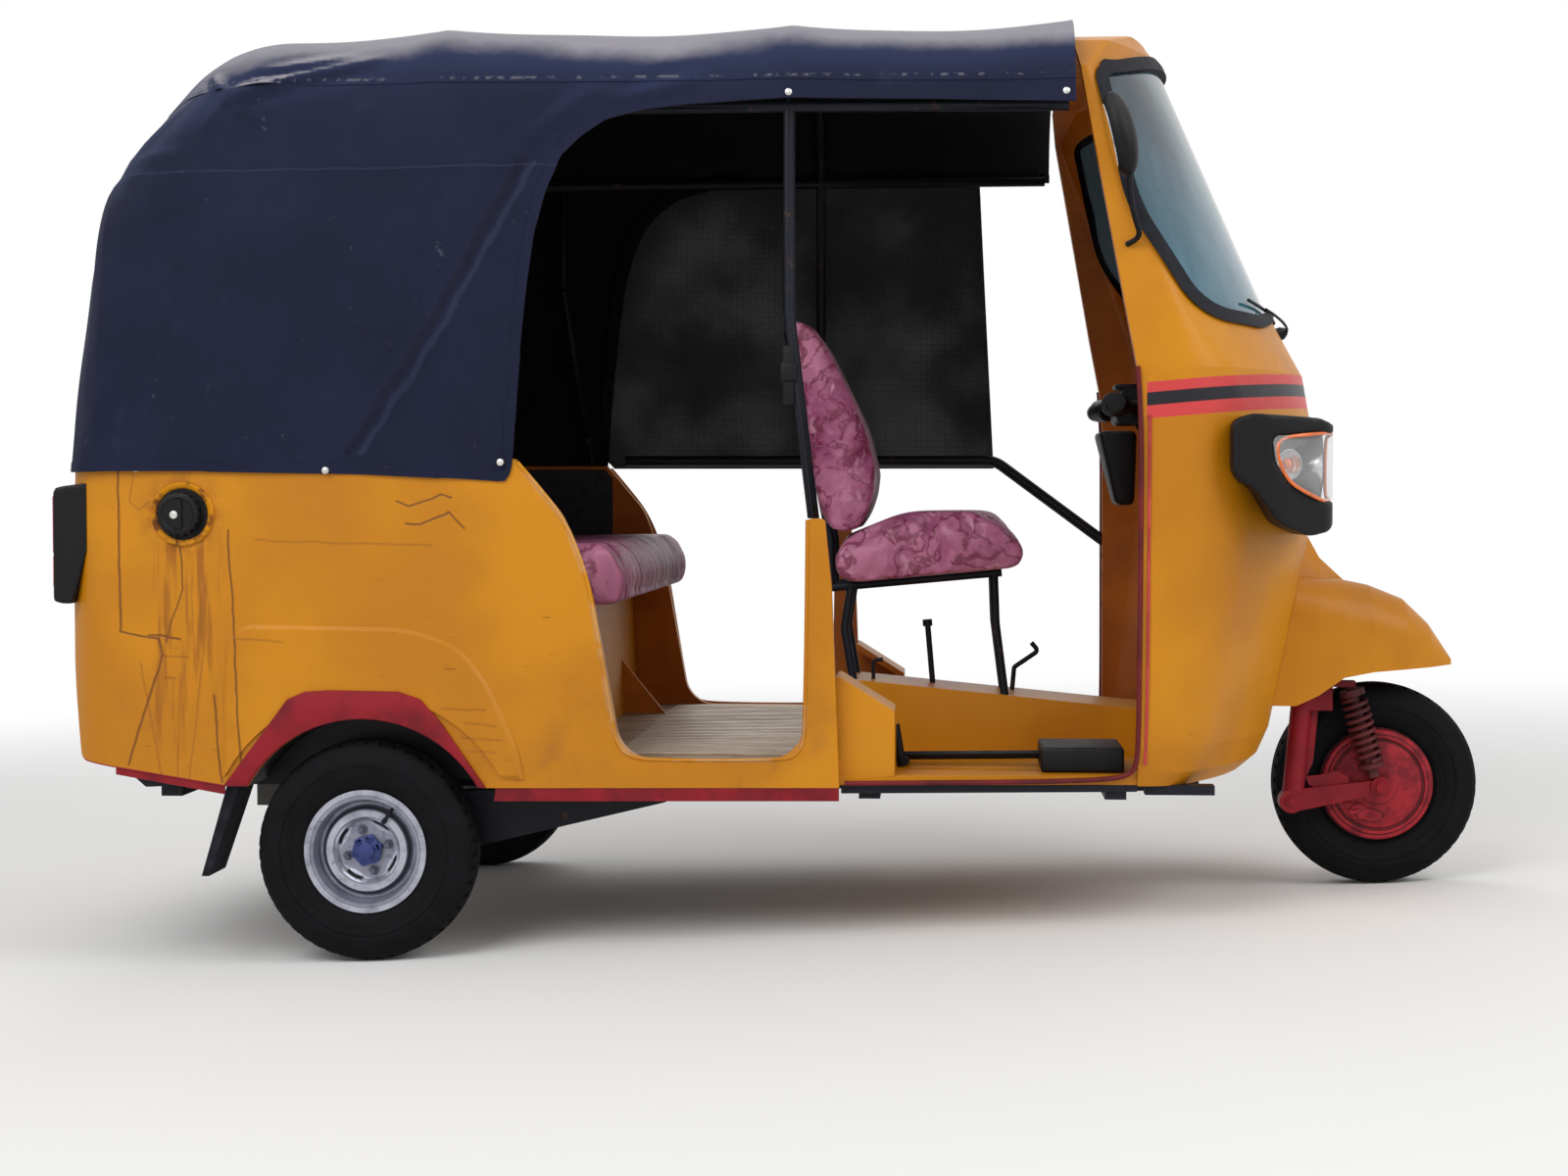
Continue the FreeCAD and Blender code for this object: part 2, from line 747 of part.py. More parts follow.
def front_fender():
    """Beak-shaped mudguard fixed to the nose over the front wheel."""
    hollow = fender_solid(fender_skin).common(block(1500, fender_hollow_front, -400, 400, 300, 1000))
    shell = fender_solid(0).fuse(ridge_solid()).cut(hollow)
    return shell.cut(cab_solid(seat_gap)).removeSplitter()


# headlamp pod in side view and in plan, right side; its lens window likewise
pod_side = [
    (1604, 908, 40), (1604, 1012, 22), (1640, 1023, 12), (1770, 1016, 16), (1808, 1002, 14),
    (1812, 920, 60), (1802, 808, 26), (1752, 797, 30), (1690, 820, 60), (1645, 884, 60),
]
pod_plan = [
    (1560, -622, 0), (1690, -622, 80), (1800, -540, 60), (1814, -300, 40), (1640, -250, 0), (1560, -500, 0),
]
lens_side = [
    (1676, 982, 12), (1840, 990, 8), (1840, 866, 8), (1785, 862, 12), (1708, 896, 30), (1682, 935, 12),
]
lens_plan = [
    (1640, -660, 0), (1840, -660, 0), (1840, -338, 0), (1782, -338, 0), (1640, -560, 0),
]


def pod_block():
    return side_prism(pod_side, -700, -200).common(plan_prism(pod_plan, 700, 1100))


def lens_block(inset):
    window = side_prism(lens_side, -700, -300, inset)
    return window.common(plan_prism(lens_plan, 800, 1060, inset))


def headlamp_pods():
    return both_sides(pod_block().cut(lens_block(0)).cut(cab_solid(seat_gap)))


def headlamp_lenses():
    """Clear lens blocks that fill the pods' windows."""
    return both_sides(pod_block().common(lens_block(seat_gap)).cut(cab_solid(2 * seat_gap)))


def mirrors():
    """Rear-view mirror on its bent arm, each side of the windscreen frame."""
    outline = [(1366, 1470, 20), (1362, 1575, 25), (1384, 1600, 12), (1424, 1480, 12), (1404, 1452, 10)]
    head = side_prism(outline, -700, -610)
    arm = tube([V(1396, -640, 1460), V(1404, -628, 1400), V(1418, -604, 1352), V(1408, -590, 1345)], 5, 14)
    return both_sides(joined([head, arm]).cut(cab_solid(seat_gap)))


# Steering and front suspension

bar_stage = (handlebar_height - steer_foot.z) / math.cos(math.radians(steer_angle))


def stage_steer(reach):
    """Point on the steering axis, measured up from the steering foot."""
    return steer_foot - steer_down * reach


def steering_head():
    """Bearing tube of the steering column, held to the inside of the nose."""
    head = rod(stage_steer(head_low), stage_steer(head_high), head_radius)
    shelf = block(1560, 1790, -60, 60, head_shelf_z, head_shelf_z + 12)
    shelf = shelf.common(cab_solid(-cab_wall - seat_gap, -200))
    bore = rod(stage_steer(head_low - 14), stage_steer(head_high + 24), column_radius + column_play)
    return joined([head, shelf]).cut(bore)


def steering_column():
    return rod(stage_steer(column_foot), stage_steer(bar_stage), column_radius)


def handlebar():
    """Scooter-type bar with grips and its pod."""
    c = stage_steer(bar_stage)
    half = [c + V(0, 50, -4), c + V(-6, 100, -4), c + V(-44, 200, 2), c + V(-60, 345, 2)]
    bar = tube([V(p.x, -p.y, p.z) for p in reversed(half)] + half, bar_radius, 40)
    outline = [
        (c.x - 45, c.z - 34, 12), (c.x + 52, c.z - 34, 12),
        (c.x + 58, c.z + 26, 20), (c.x - 30, c.z + 44, 16),
    ]
    pod = side_prism(outline, -95, 95)
    return joined([bar, pod]).cut(rod(stage_steer(0), stage_steer(bar_stage + seat_gap), column_radius))


def front_fork():
    """Single leg: crown under the head, bent round the wheel, saddled on the link's pivot."""
    leg_head = V(1808, fork_side, 462)
    leg_foot = V(link_pivot.x + 4, fork_side, link_pivot.z)
    path = [stage_steer(column_foot - seat_gap), stage_steer(column_foot - 18), leg_head, leg_foot]
    crown = tube(path, fork_radius, 26)
    bracket = block(1812, 1866, fork_side - 20, fork_side + 20, 436, 486)
    arm = block(1860, 1912, fork_side - 20, fork_side + 14, 484, 496)
    # stiffening flange down the front of the leg
    flange_side = [(1812, 450, 0), (1840, 440, 0), (1830, 330, 30), (1814, 292, 10), (1796, 292, 0)]
    flange = side_prism(flange_side, fork_side - 3, fork_side + 3)
    saddle = cross_rod(link_pivot, fork_side - 40, fork_side + 40, link_boss + seat_gap)
    below = block(1700, 1900, fork_side - 40, fork_side + 40, 150, link_pivot.z + link_boss / 2)
    return joined([crown, bracket, arm, flange]).cut(saddle).cut(below).cut(link_arm(seat_gap))


def link_outline():
    """Side outline of the leading link's arm between its two eyes."""
    return [
        (link_pivot.x, link_pivot.z - link_boss, 0), (front_axle.x, front_axle.z - 14, 0),
        (front_axle.x, front_axle.z + 14, 0), (link_pivot.x, link_pivot.z + link_boss - 2, 0),
    ]


def link_arm(grow):
    t = link_half_thickness + grow
    middle = fork_side - 3
    return side_prism(link_outline(), middle - t, middle + t, -grow)


def front_link():
    """Leading link from the fork's foot to the axle."""
    y0, y1 = fork_side - 20, fork_side + 18
    boss = cross_rod(link_pivot, y0, y1, link_boss)
    eye = cross_rod(front_axle, y0 + 4, plate_face - seat_gap, link_eye)
    axle = cross_rod(front_axle, fork_side, 30, axle_radius)
    return joined([boss, eye, link_arm(0), axle])


def brake_plate():
    """Back plate that closes the front drum, with its cam boss."""
    c = V(front_axle.x, 0, front_axle.z)
    bore = axle_radius + seat_gap
    rim_step, inner = plate_face + 6, plate_face + 11
    profile = [
        (plate_face, bore, 0), (plate_face, plate_radius - 16, 4), (rim_step, plate_radius, 3),
        (inner, plate_radius, 0), (inner, bore, 0),
    ]
    cam = cross_rod(c + V(-40, 0, -55), plate_face - 7, plate_face + 3, 20)
    return joined([turned(profile, c), cam])


def spring_coil(rise):
    """Coil of eight-sided wire in short straight runs, round the Z axis."""
    radius = spring_radius - spring_wire
    count = spring_turns * runs_per_turn
    sections = []
    for i in range(count + 1):
        around = 2 * math.pi * i / runs_per_turn
        out = V(math.cos(around), math.sin(around), 0)
        centre = out * radius + V(0, 0, rise * i / count)
        corners = []
        for k in range(9):
            turn = math.pi * (2 * k + 1) / 8
            wide, high = spring_wire * math.cos(turn), spring_wire * math.sin(turn)
            corners.append(centre + out * wide + V(0, 0, high))
        sections.append(corners)
    faces = []
    for here, there in zip(sections, sections[1:]):
        for k in range(8):
            quad = [here[k], here[k + 1], there[k + 1], there[k]]
            faces += [triangle(quad[0], quad[1], quad[2]), triangle(quad[0], quad[2], quad[3])]
    ends = [Part.Face(Part.makePolygon(sections[0])), Part.Face(Part.makePolygon(sections[-1]))]
    return Part.Solid(Part.makeShell(faces + ends))


def triangle(a, b, c):
    return Part.Face(Part.makePolygon([a, b, c, a]))


def spring_damper():
    """Coil spring round its damper, from the link's eye to the fork's arm."""
    top = spring_top - V(0, 0, seat_gap)
    foot = V(front_axle.x - 7, top.y, front_axle.z)
    along = (top - foot).normalize()
    coil_foot = foot + along * 42
    length = (top - coil_foot).Length
    core = joined([
        rod(foot, coil_foot + along * 60, damper_radius), rod(coil_foot, top - along * 4, damper_radius + 3),
        rod(coil_foot - along * 3, coil_foot + along * spring_seat, spring_radius),
        rod(top - along * (spring_seat + 3), top - along * 3, spring_radius), rod(top - along * 6, top, 10),
    ])
    core = core.cut(cross_rod(front_axle, -200, 0, link_eye + seat_gap)).cut(link_arm(seat_gap))
    core = core.common(block(1800, 2100, -200, 0, 200, top.z))
    rise = length - 2 * spring_seat - 2 * spring_wire - 2 * seat_gap - 3
    coil = spring_coil(rise)
    start = coil_foot + along * (spring_seat + seat_gap + spring_wire)
    coil.Placement = FreeCAD.Placement(start, FreeCAD.Rotation(V(0, 0, 1), along))
    return Part.makeCompound([core, coil])


# Wheels

def tyre(centre):
    w, seat = tyre_width / 2, rim_width / 2 - rim_lip - seat_gap
    side = [
        (26, tyre_radius, 60), (w - 6, tyre_radius - 14, 14), (w, 168, 30), (seat + 6, 124, 6),
        (seat, 118, 0), (seat, bead_radius + seat_gap, 0),
    ]
    return turned([(-y, r, c) for y, r, c in reversed(side)] + side, centre)


def wheel_nuts(face, side, turn):
    """Studs with their nuts, standing on the disc's face."""
    made = []
    for i in range(stud_count):
        a = math.radians(turn + 360.0 * i / stud_count)
        foot = face + V(stud_circle * math.cos(a), -0.5 * side, stud_circle * math.sin(a))
        corners = []
        for k in range(7):
            b = k * math.pi / 3
            corners.append(foot + V(nut_radius * math.cos(b), 0, nut_radius * math.sin(b)))
        nut = Part.Face(Part.Wire(Part.makePolygon(corners)))
        made.append(nut.extrude(V(0, nut_height * side, 0)))
        made.append(rod(foot, foot + V(0, (nut_height + stud_proud) * side, 0), stud_radius))
    return made


def rim_profile(bore, dish_edge):
    """Half section of a pressed rim with its dished disc: outboard y, radius, corner radius."""
    h, b, lip = rim_width / 2, bead_radius, rim_flange_radius
    back, front = disc_face - disc_thickness, disc_face
    well = b - rim_lip
    return [
        (h, lip, 0), (h - rim_lip + 1, lip, 0), (h - rim_lip, b, 0), (-(h - rim_lip), b, 0),
        (-(h - rim_lip + 1), lip, 0), (-h, lip, 0), (-h, well, 0), (-8, well - 2, 0),
        (-8, 84, 0), (10, 80, 0), (24, 74, 0), (24, 66, 0), (back, 58, 0), (back, bore, 0),
        (front, bore, 0), (front, 54, 0), (31, 64, 0), (31, dish_edge, 0), (16, 86, 0), (16, 92, 0),
        (h, well, 0),
    ]


def rear_rim(side, turn):
    """Pressed steel rim, dished disc, drum and wheel nuts; side is -1 on the right."""
    c = V(0, side * rear_track / 2, rear_axle_height)
    rim = turned([(y * side, r, k) for y, r, k in rim_profile(16.0, 76)], c)
    drum_face = disc_face - disc_thickness
    drum_back = c + V(0, (drum_face - rear_drum_depth) * side, 0)
    drum = rod(c + V(0, drum_face * side, 0), drum_back, rear_drum_radius)
    cap = rod(c + V(0, (drum_face - 1) * side, 0), c + V(0, 30 * side, 0), hub_cap_radius)
    return joined([rim, drum, cap] + wheel_nuts(c + V(0, disc_face * side, 0), side, turn))


def front_rim():
    c = front_axle
    bore = axle_radius + seat_gap
    rim = turned(rim_profile(bore, 70), c)
    drum = turned([(-40, bore, 0), (-40, 80, 0), (7, 80, 0), (7, bore, 0)], c)
    cap = rod(c + V(0, disc_face - 1, 0), c + V(0, 40, 0), hub_cap_radius).cut(rod(c, c + V(0, 33, 0), bore))
    return joined([rim, drum, cap] + wheel_nuts(c + V(0, disc_face, 0), 1, stud_turn_front))


def rear_hub(side):
    return V(0, side * rear_track / 2, rear_axle_height)


# Hood and its frame

# roof and back of the hood, seen from the side: x, z, corner radius
hood_profile = [
    (-574.5, hood_hem - hood_overrun, 0), (-505, 1452, 60), (-372, 1742, 70), (-300, 1756, 200),
    (131, hood_top, 700), (hood_front + hood_overrun, hood_top, 0),
    (hood_front + hood_overrun, hood_hem - hood_overrun, 0),
]
# what is left of its sides: hem, front edge of the rear quarter, valance over the doorways
hood_side = [
    (-640, hood_hem, 0), (-640, 1900, 0), (hood_front, 1900, 0), (hood_front, 1600, 10),
    (600, cant_height, 30),
    (455, 1572, 90), (352, 1455, 120), (302, 1180, 500), (286, hood_hem - 24, 0), (-60, hood_hem - 2, 0),
]
hood_out = hood_skin + cloth_gap
hood_half_width = tub_half_width + hood_out
# roof seen from the front: y, z, corner radius
hood_section = [
    (-682, 800, 0), (-678, 1380, 0), (-606, 1764, hood_shoulder), (0, 1800, 1500),
    (606, 1764, hood_shoulder), (678, 1380, 0), (682, 800, 0),
]


def hood_block(inset):
    """Outer volume of the hood, drawn in by inset."""
    tip, w = hood_front_half_width, hood_half_width
    tail, corner = tub_tail - hood_out, tub_corner + hood_out
    end = hood_front + hood_overrun
    plan = [
        (end, tip, 0), (300, w, 300), (tail, w, corner),
        (tail, -w, corner), (300, -w, 300), (end, -tip, 0),
    ]
    body = side_prism(hood_profile, -beyond, beyond, inset)
    body = body.common(plan_prism(plan, 800, 1900, inset))
    return body.common(front_prism(hood_section, -700, 1400, inset))


def hood():
    """Vinyl hood: roof, back and rear sides, open at the doorways and below."""
    shell = hood_block(0).cut(hood_block(hood_skin))
    return shell.common(side_prism(hood_side, -beyond, beyond))


def bow(x, half, crown):
    """Hood bow from cant rail to cant rail; crown holds the (y, z) of its top from the middle out."""
    right = [(half, cant_height), (half - 8, 1660)] + list(reversed(crown))
    points = [V(x, -y, z) for y, z in right] + [V(x, y, z) for y, z in reversed(right)]
    inner = [60.0] * (len(right) - 1)
    if len(crown) > 1:
        inner[-1] = 600.0
    return tube(points, bow_radius, inner + list(reversed(inner)))


# hood bows: x, half width, top points from the middle out
hood_bows = [
    (rear_post_x, rear_post_y, [(462, 1736)]),
    (131, 600, [(160, 1771), (462, 1752)]),
    (post_x, post_y, [(160, 1771), (456, 1752)]),
]


def tube_frame():
    """Hood bows, cant rails, middle and rear posts and stays, one welded tube frame."""
    made = [bow(x, half, crown) for x, half, crown in hood_bows]
    for side in (-1, 1):
        rear = V(rear_post_x, side * rear_post_y, cant_height)
        middle = V(post_x, side * post_y, cant_height)
        made.append(tube([rear, middle, V(hood_front - 12, side * 575, cant_height)], bow_radius, 200))
        post_foot = V(post_foot_x, side * post_foot_y, pillar_top - 10)
        post = tube([middle, V(post_x, side * (post_y + 2), 1209), post_foot], bow_radius, 200)
        made.append(post.cut(block(0, 1000, -beyond, beyond, 0, pillar_top + seat_gap)))
        made.append(rod(rear, V(rear_post_x - 30, side * rear_post_y, tub_top + seat_gap), bow_radius))
        y = side * stay_y
        stay = tube([V(184, y, cant_height - 4), V(186, y, 1348), V(252, y, tub_top - 10)], stay_radius, 120)
        made.append(stay.cut(block(0, 400, -beyond, beyond, 0, tub_top + seat_gap)))
    return joined(made).cut(tail_block(seat_gap))


def side_rail():
    """Rail over the left doorways, with its brace down to the cab's door edge."""
    y = rail_side
    brace = [V(330, y, rail_height), V(1195, y, rail_height), V(1450, 578, 762)]
    return tube(brace, rail_radius, 60).cut(block(door_edge - seat_gap, 1500, 500, 700, 700, 800))


def side_curtain():
    """Mesh sheet that closes the left side above the rail."""
    y = rail_side + rail_radius + seat_gap
    outline = [(300, 932, 0), (1190, 934, 20), (1158, 1580, 0), (440, 1556, 60), (330, 1400, 100)]
    return side_prism(outline, y, y + 3)


# Seats

def bench():
    """Passenger cushion."""
    low = shelf_top + seat_gap
    back = bulkhead_foot + seat_gap
    side = [
        (back, low, 0), (bench_front - 12, low, 25), (bench_front, 715, 40),
        (bench_front - 27, bench_top, 30), (back, bench_top - 8, 20),
    ]
    return side_prism(side, -bench_half_width, bench_half_width)


def bench_back():
    """Passenger backrest, leaning on the bulkhead."""
    low, top = bench_top - 8 + 3 * seat_gap, backrest_top
    lean = seat_gap + 0.1
    side = [
        (bulkhead_face(low) + lean, low, 0), (58, low, 15), (bulkhead_face(top) + 90, top, 30),
        (bulkhead_face(top) + lean, top, 30),
    ]
    return side_prism(side, -backrest_half_width, backrest_half_width)


def driver_cushion():
    under, nose = cushion_back, cushion_front
    outline = [
        (under.x, under.z, 40), (nose.x, nose.z, 30), (1243, 762, 25), (1180, 826, 60), (1000, 824, 200),
        (under.x, 766, 40),
    ]
    return side_prism(outline, -cushion_half_width, cushion_half_width)


def driver_backrest():
    outline = [
        (851, 800, 20), (905, 800, 30), (938, 880, 60), (905, 1010, 300), (830, 1165, 120), (795, 1214, 10),
        (764, 1222, 8),
    ]
    return side_prism(outline, -driver_back_half_width, driver_back_half_width)


def seat_frame():
    """Driver's seat frame: two rails under the cushion, legs and backrest uprights."""
    slope = (cushion_front.z - cushion_back.z) / (cushion_front.x - cushion_back.x)
    drop = (frame_tube + seat_gap) * math.hypot(1, slope)

    def under_cushion(x, y):
        return V(x, y, cushion_back.z + (x - cushion_back.x) * slope - drop)

    parts = []
    for side in (-1, 1):
        y = side * frame_half
        rear = under_cushion(846, y)
        parts.append(rod(rear, under_cushion(1196, y), frame_tube))
        parts.append(tube([under_cushion(1180, y), V(1184, y, 610), V(1206, y, 440)], 8.5, 120))
        parts.append(tube([under_cushion(888, y), V(874, y, 600), V(896, y, 470)], 8.5, 60))
        parts.append(tube([rear, V(846, y, 778), V(757, y, 1209)], frame_tube, 100))
    crossbars = [under_cushion(900, frame_half), under_cushion(1170, frame_half), V(757, frame_half, 1205)]
    parts += [cross_rod(at, -frame_half, frame_half, 8) for at in crossbars]
    return joined(parts).cut(tunnel_block(seat_gap))


def levers():
    """Gear lever, brake pedal and reverse lever, standing on the tunnel."""
    seat = tunnel_block(seat_gap)
    gear = joined([rod(V(1058, 30, 440), V(1044, 30, 600), 6), rod(V(1044, 30, 598), V(1043, 30, 612), 10)])
    brake = tube([V(1219, 60, 430), V(1226, 60, 510), V(1277, 60, 545), V(1262, 60, 562)], 5, 8)
    reverse = tube([V(932, -40, 470), V(932, -40, 530), V(952, -40, 532)], 4, 6)
    return Part.makeCompound([gear.cut(seat), brake.cut(seat), reverse.cut(seat)])


front_reach = math.hypot(wheelbase, front_axle_rise) + tyre_radius
tail_reach = -568.0
middle_x = (front_reach + tail_reach) / 2


def settle(shape):
    """Turns the body nose-down about the rear axle and centres the vehicle over the origin."""
    stood = shape.copy()
    stood.rotate(V(0, 0, rear_axle_height), V(0, 1, 0), stance_turn)
    stood.translate(V(-middle_x, 0, 0))
    return stood


nodes = {
    "body_tub": body_tub,
    "tail_lid": tail_lid,
    "arch_flares": arch_flares,
    "inner_panels": inner_panels,
    "passenger_floor": passenger_floor,
    "seat_box": seat_box,
    "driver_floor": driver_floor,
    "cab_shell": cab_shell,
    "screen_seal": screen_seal,
    "windscreen": windscreen,
    "front_fender": front_fender,
    "headlamp_pods": headlamp_pods,
    "headlamp_lenses": headlamp_lenses,
    "steering_head": steering_head,
    "steering_column": steering_column,
    "front_fork": front_fork,
    "front_link": front_link,
    "brake_plate": brake_plate,
    "spring_damper": spring_damper,
    "handlebar": handlebar,
    "front_tyre": lambda: tyre(front_axle),
    "front_rim": front_rim,
    "rear_tyre_right": lambda: tyre(rear_hub(-1)),
    "rear_rim_right": lambda: rear_rim(-1, stud_turn_right),
    "rear_tyre_left": lambda: tyre(rear_hub(1)),
    "rear_rim_left": lambda: rear_rim(1, stud_turn_left),
    "rear_arms": rear_arms,
    "engine_block": engine_block,
    "drive_shafts": drive_shafts,
    "underframe": underframe,
    "hood": hood,
    "tube_frame": tube_frame,
    "side_curtain": side_curtain,
    "side_rail": side_rail,
    "bench": bench,
    "bench_back": bench_back,
    "driver_cushion": driver_cushion,
    "driver_backrest": driver_backrest,
    "seat_frame": seat_frame,
    "fuel_cap": fuel_cap,
    "tail_lamps": tail_lamps,
    "mud_flaps": mud_flaps,
    "mirrors": mirrors,
    "plate_bracket": plate_bracket,
    "levers": levers,
}


def main():
    os.makedirs("parts", exist_ok=True)
    for name, make in nodes.items():
        shape = settle(make())
        box = shape.BoundBox
        sizes = [round(v) for v in (box.XMin, box.XMax, box.YMin, box.YMax, box.ZMin, box.ZMax)]
        print(name, len(shape.Solids), shape.isValid(), round(shape.Volume / 1e6, 3), "litres", sizes)
        shape.exportStep("parts/" + name + ".step")


main()
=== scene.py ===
import bpy
import math
import numpy as np
from mathutils.kdtree import KDTree
from mathutils import Matrix, Vector


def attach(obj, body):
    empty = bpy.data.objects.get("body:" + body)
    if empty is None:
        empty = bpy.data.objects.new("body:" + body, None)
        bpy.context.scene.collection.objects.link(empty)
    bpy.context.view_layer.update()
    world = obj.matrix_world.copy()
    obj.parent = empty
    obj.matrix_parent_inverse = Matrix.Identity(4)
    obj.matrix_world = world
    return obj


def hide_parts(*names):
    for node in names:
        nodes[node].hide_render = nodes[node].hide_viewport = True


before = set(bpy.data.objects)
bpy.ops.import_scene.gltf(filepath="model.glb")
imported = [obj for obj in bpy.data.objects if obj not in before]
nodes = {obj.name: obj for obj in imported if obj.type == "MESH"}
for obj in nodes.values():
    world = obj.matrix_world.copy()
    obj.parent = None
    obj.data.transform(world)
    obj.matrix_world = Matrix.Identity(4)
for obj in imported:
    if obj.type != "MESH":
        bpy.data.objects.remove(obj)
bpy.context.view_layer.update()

# New pieces are drawn on the level body, in metres: x forward from the rear axle, y to the left,
# z up from the rear wheels' contact. The stance then turns them nose-down and centres them.
stance = {"turn": math.atan2(0.073, 1.965), "pivotHeight": 0.2075, "shift": 0.802928}
pivot = Vector((0, 0, stance["pivotHeight"]))
shift = Vector((stance["shift"], 0, 0))
settle = (Matrix.Translation(pivot - shift) @ Matrix.Rotation(stance["turn"], 4, "Y")
          @ Matrix.Translation(-pivot))
unsettle = settle.inverted()
print("frame loaded,", len(nodes), "nodes")


# Tools for modelling

def startFresh():
    if bpy.context.object and bpy.context.object.mode != "OBJECT":
        bpy.ops.object.mode_set(mode="OBJECT")
    bpy.ops.object.select_all(action="DESELECT")


def makeActive(piece):
    startFresh()
    piece.select_set(True)
    bpy.context.view_layer.objects.active = piece


def named(piece, name):
    piece.name = name
    piece.data.name = name
    return piece


def applied(name):
    # the primitive that was just added, with its place put into its mesh
    bpy.ops.object.transform_apply(location=True, rotation=True, scale=True)
    return named(bpy.context.object, name)


def addObject(name, data):
    piece = bpy.data.objects.new(name, data)
    bpy.context.scene.collection.objects.link(piece)
    return piece


def startBlock(name, low, high):
    startFresh()
    low, high = Vector(low), Vector(high)
    bpy.ops.mesh.primitive_cube_add(size=1, location=(low + high) / 2, scale=high - low)
    return applied(name)


def startRod(name, start, end, radius, sides=24):
    startFresh()
    start, end = Vector(start), Vector(end)
    turn = (end - start).to_track_quat("Z", "Y").to_euler()
    bpy.ops.mesh.primitive_cylinder_add(vertices=sides, radius=radius, depth=(end - start).length,
                                        location=(start + end) / 2, rotation=turn)
    return applied(name)


def startBall(name, centre, size, rings):
    startFresh()
    bpy.ops.mesh.primitive_uv_sphere_add(segments=rings * 2, ring_count=rings, radius=1,
                                         location=centre, scale=size)
    return applied(name)


def openMesh(piece):
    makeActive(piece)
    bpy.ops.object.mode_set(mode="EDIT")
    bpy.ops.mesh.select_all(action="SELECT")


def closeMesh(merge=None):
    # doubled points merged and faces turned outwards, then out of edit mode
    bpy.ops.mesh.select_all(action="SELECT")
    if merge:
        bpy.ops.mesh.remove_doubles(threshold=merge)
    bpy.ops.mesh.normals_make_consistent(inside=False)
    bpy.ops.object.mode_set(mode="OBJECT")


def pickFaces(piece, test):
    # leaves the faces that pass the test selected, in edit mode
    makeActive(piece)
    bpy.context.tool_settings.mesh_select_mode = (False, False, True)
    bpy.ops.object.mode_set(mode="EDIT")
    bpy.ops.mesh.select_all(action="DESELECT")
    bpy.ops.object.mode_set(mode="OBJECT")
    for face in piece.data.polygons:
        face.select = bool(test(face.center, face.normal))
    bpy.ops.object.mode_set(mode="EDIT")


def raiseFaces(piece, test, height):
    # the faces that pass the test are extruded out, or in where the height is below zero
    pickFaces(piece, test)
    bpy.ops.mesh.extrude_region()
    bpy.ops.transform.shrink_fatten(value=height)
    bpy.ops.object.mode_set(mode="OBJECT")


def drawLine(name, points):
    # a line of edges, drawn by extruding one point
    startFresh()
    bpy.ops.mesh.primitive_plane_add(size=0.01, location=points[0])
    bpy.ops.object.transform_apply(location=True, rotation=True, scale=True)
    bpy.ops.object.mode_set(mode="EDIT")
    bpy.context.tool_settings.mesh_select_mode = (True, False, False)
    bpy.ops.mesh.select_all(action="SELECT")
    bpy.ops.mesh.merge(type="CENTER")
    for before, after in zip(points, points[1:]):
        bpy.ops.mesh.extrude_region()
        bpy.ops.transform.translate(value=Vector(after) - Vector(before))
    bpy.ops.mesh.select_all(action="SELECT")
    return named(bpy.context.object, name)


def spinAlong(name, start, aim, profile, steps=32, out=None):
    # (along, radius) points spun about a line
    start, aim = Vector(start), Vector(aim).normalized()
    out = Vector(out) if out else aim.orthogonal().normalized()
    piece = drawLine(name, [start + aim * along + out * radius for along, radius in profile])
    bpy.ops.mesh.spin(steps=steps, angle=2 * math.pi, center=start, axis=aim)
    closeMesh(0.00002)
    return piece


def spinProfile(name, centre, profile, steps=72):
    # (y, radius) points spun about the cross axis through centre
    return spinAlong(name, centre, (0, 1, 0), profile, steps, (0, 0, 1))


def cutPlate(name, outline, push):
    # a flat outline filled and pushed out to a plate
    piece = drawLine(name, outline)
    bpy.ops.mesh.edge_face_add()
    bpy.ops.mesh.select_all(action="SELECT")
    bpy.ops.mesh.extrude_region()
    bpy.ops.transform.translate(value=Vector(push))
    closeMesh()
    return piece


def bendTube(name, points, radius, sides=3, closed=False):
    # a round tube along a smooth line through the points
    line = bpy.data.curves.new(name, "CURVE")
    line.dimensions = "3D"
    line.bevel_depth = radius
    line.bevel_resolution = sides
    line.use_fill_caps = True
    line.resolution_u = 8
    run = line.splines.new("NURBS")
    run.points.add(len(points) - 1)
    for spot, place in zip(run.points, points):
        spot.co = (*place, 1)
    run.use_cyclic_u = closed
    run.order_u = 3
    run.use_endpoint_u = not closed
    makeActive(addObject(name, line))
    bpy.ops.object.convert(target="MESH")
    return named(bpy.context.object, name)


def shape(piece, kind, **settings):
    # one modifier, applied
    makeActive(piece)
    step = piece.modifiers.new(kind.title(), kind)
    for name, value in settings.items():
        setattr(step, name, value)
    bpy.ops.object.modifier_apply(modifier=step.name)
    return piece


def soften(piece, width, segments=2, angle=35):
    return shape(piece, "BEVEL", width=width, segments=segments, limit_method="ANGLE",
                 angle_limit=math.radians(angle))


def joinPieces(name, pieces):
    makeActive(pieces[0])
    for piece in pieces:
        piece.select_set(True)
    bpy.ops.object.join()
    return named(bpy.context.object, name)


def copyPiece(piece, name, move):
    twin = piece.copy()
    twin.data = piece.data.copy()
    twin.data.transform(move)
    if move.determinant() < 0:
        twin.data.flip_normals()
    bpy.context.scene.collection.objects.link(twin)
    return named(twin, name)


def mirrorPiece(piece, ending):
    return copyPiece(piece, piece.name + ending, Matrix.Scale(-1, 4, (0, 1, 0)))


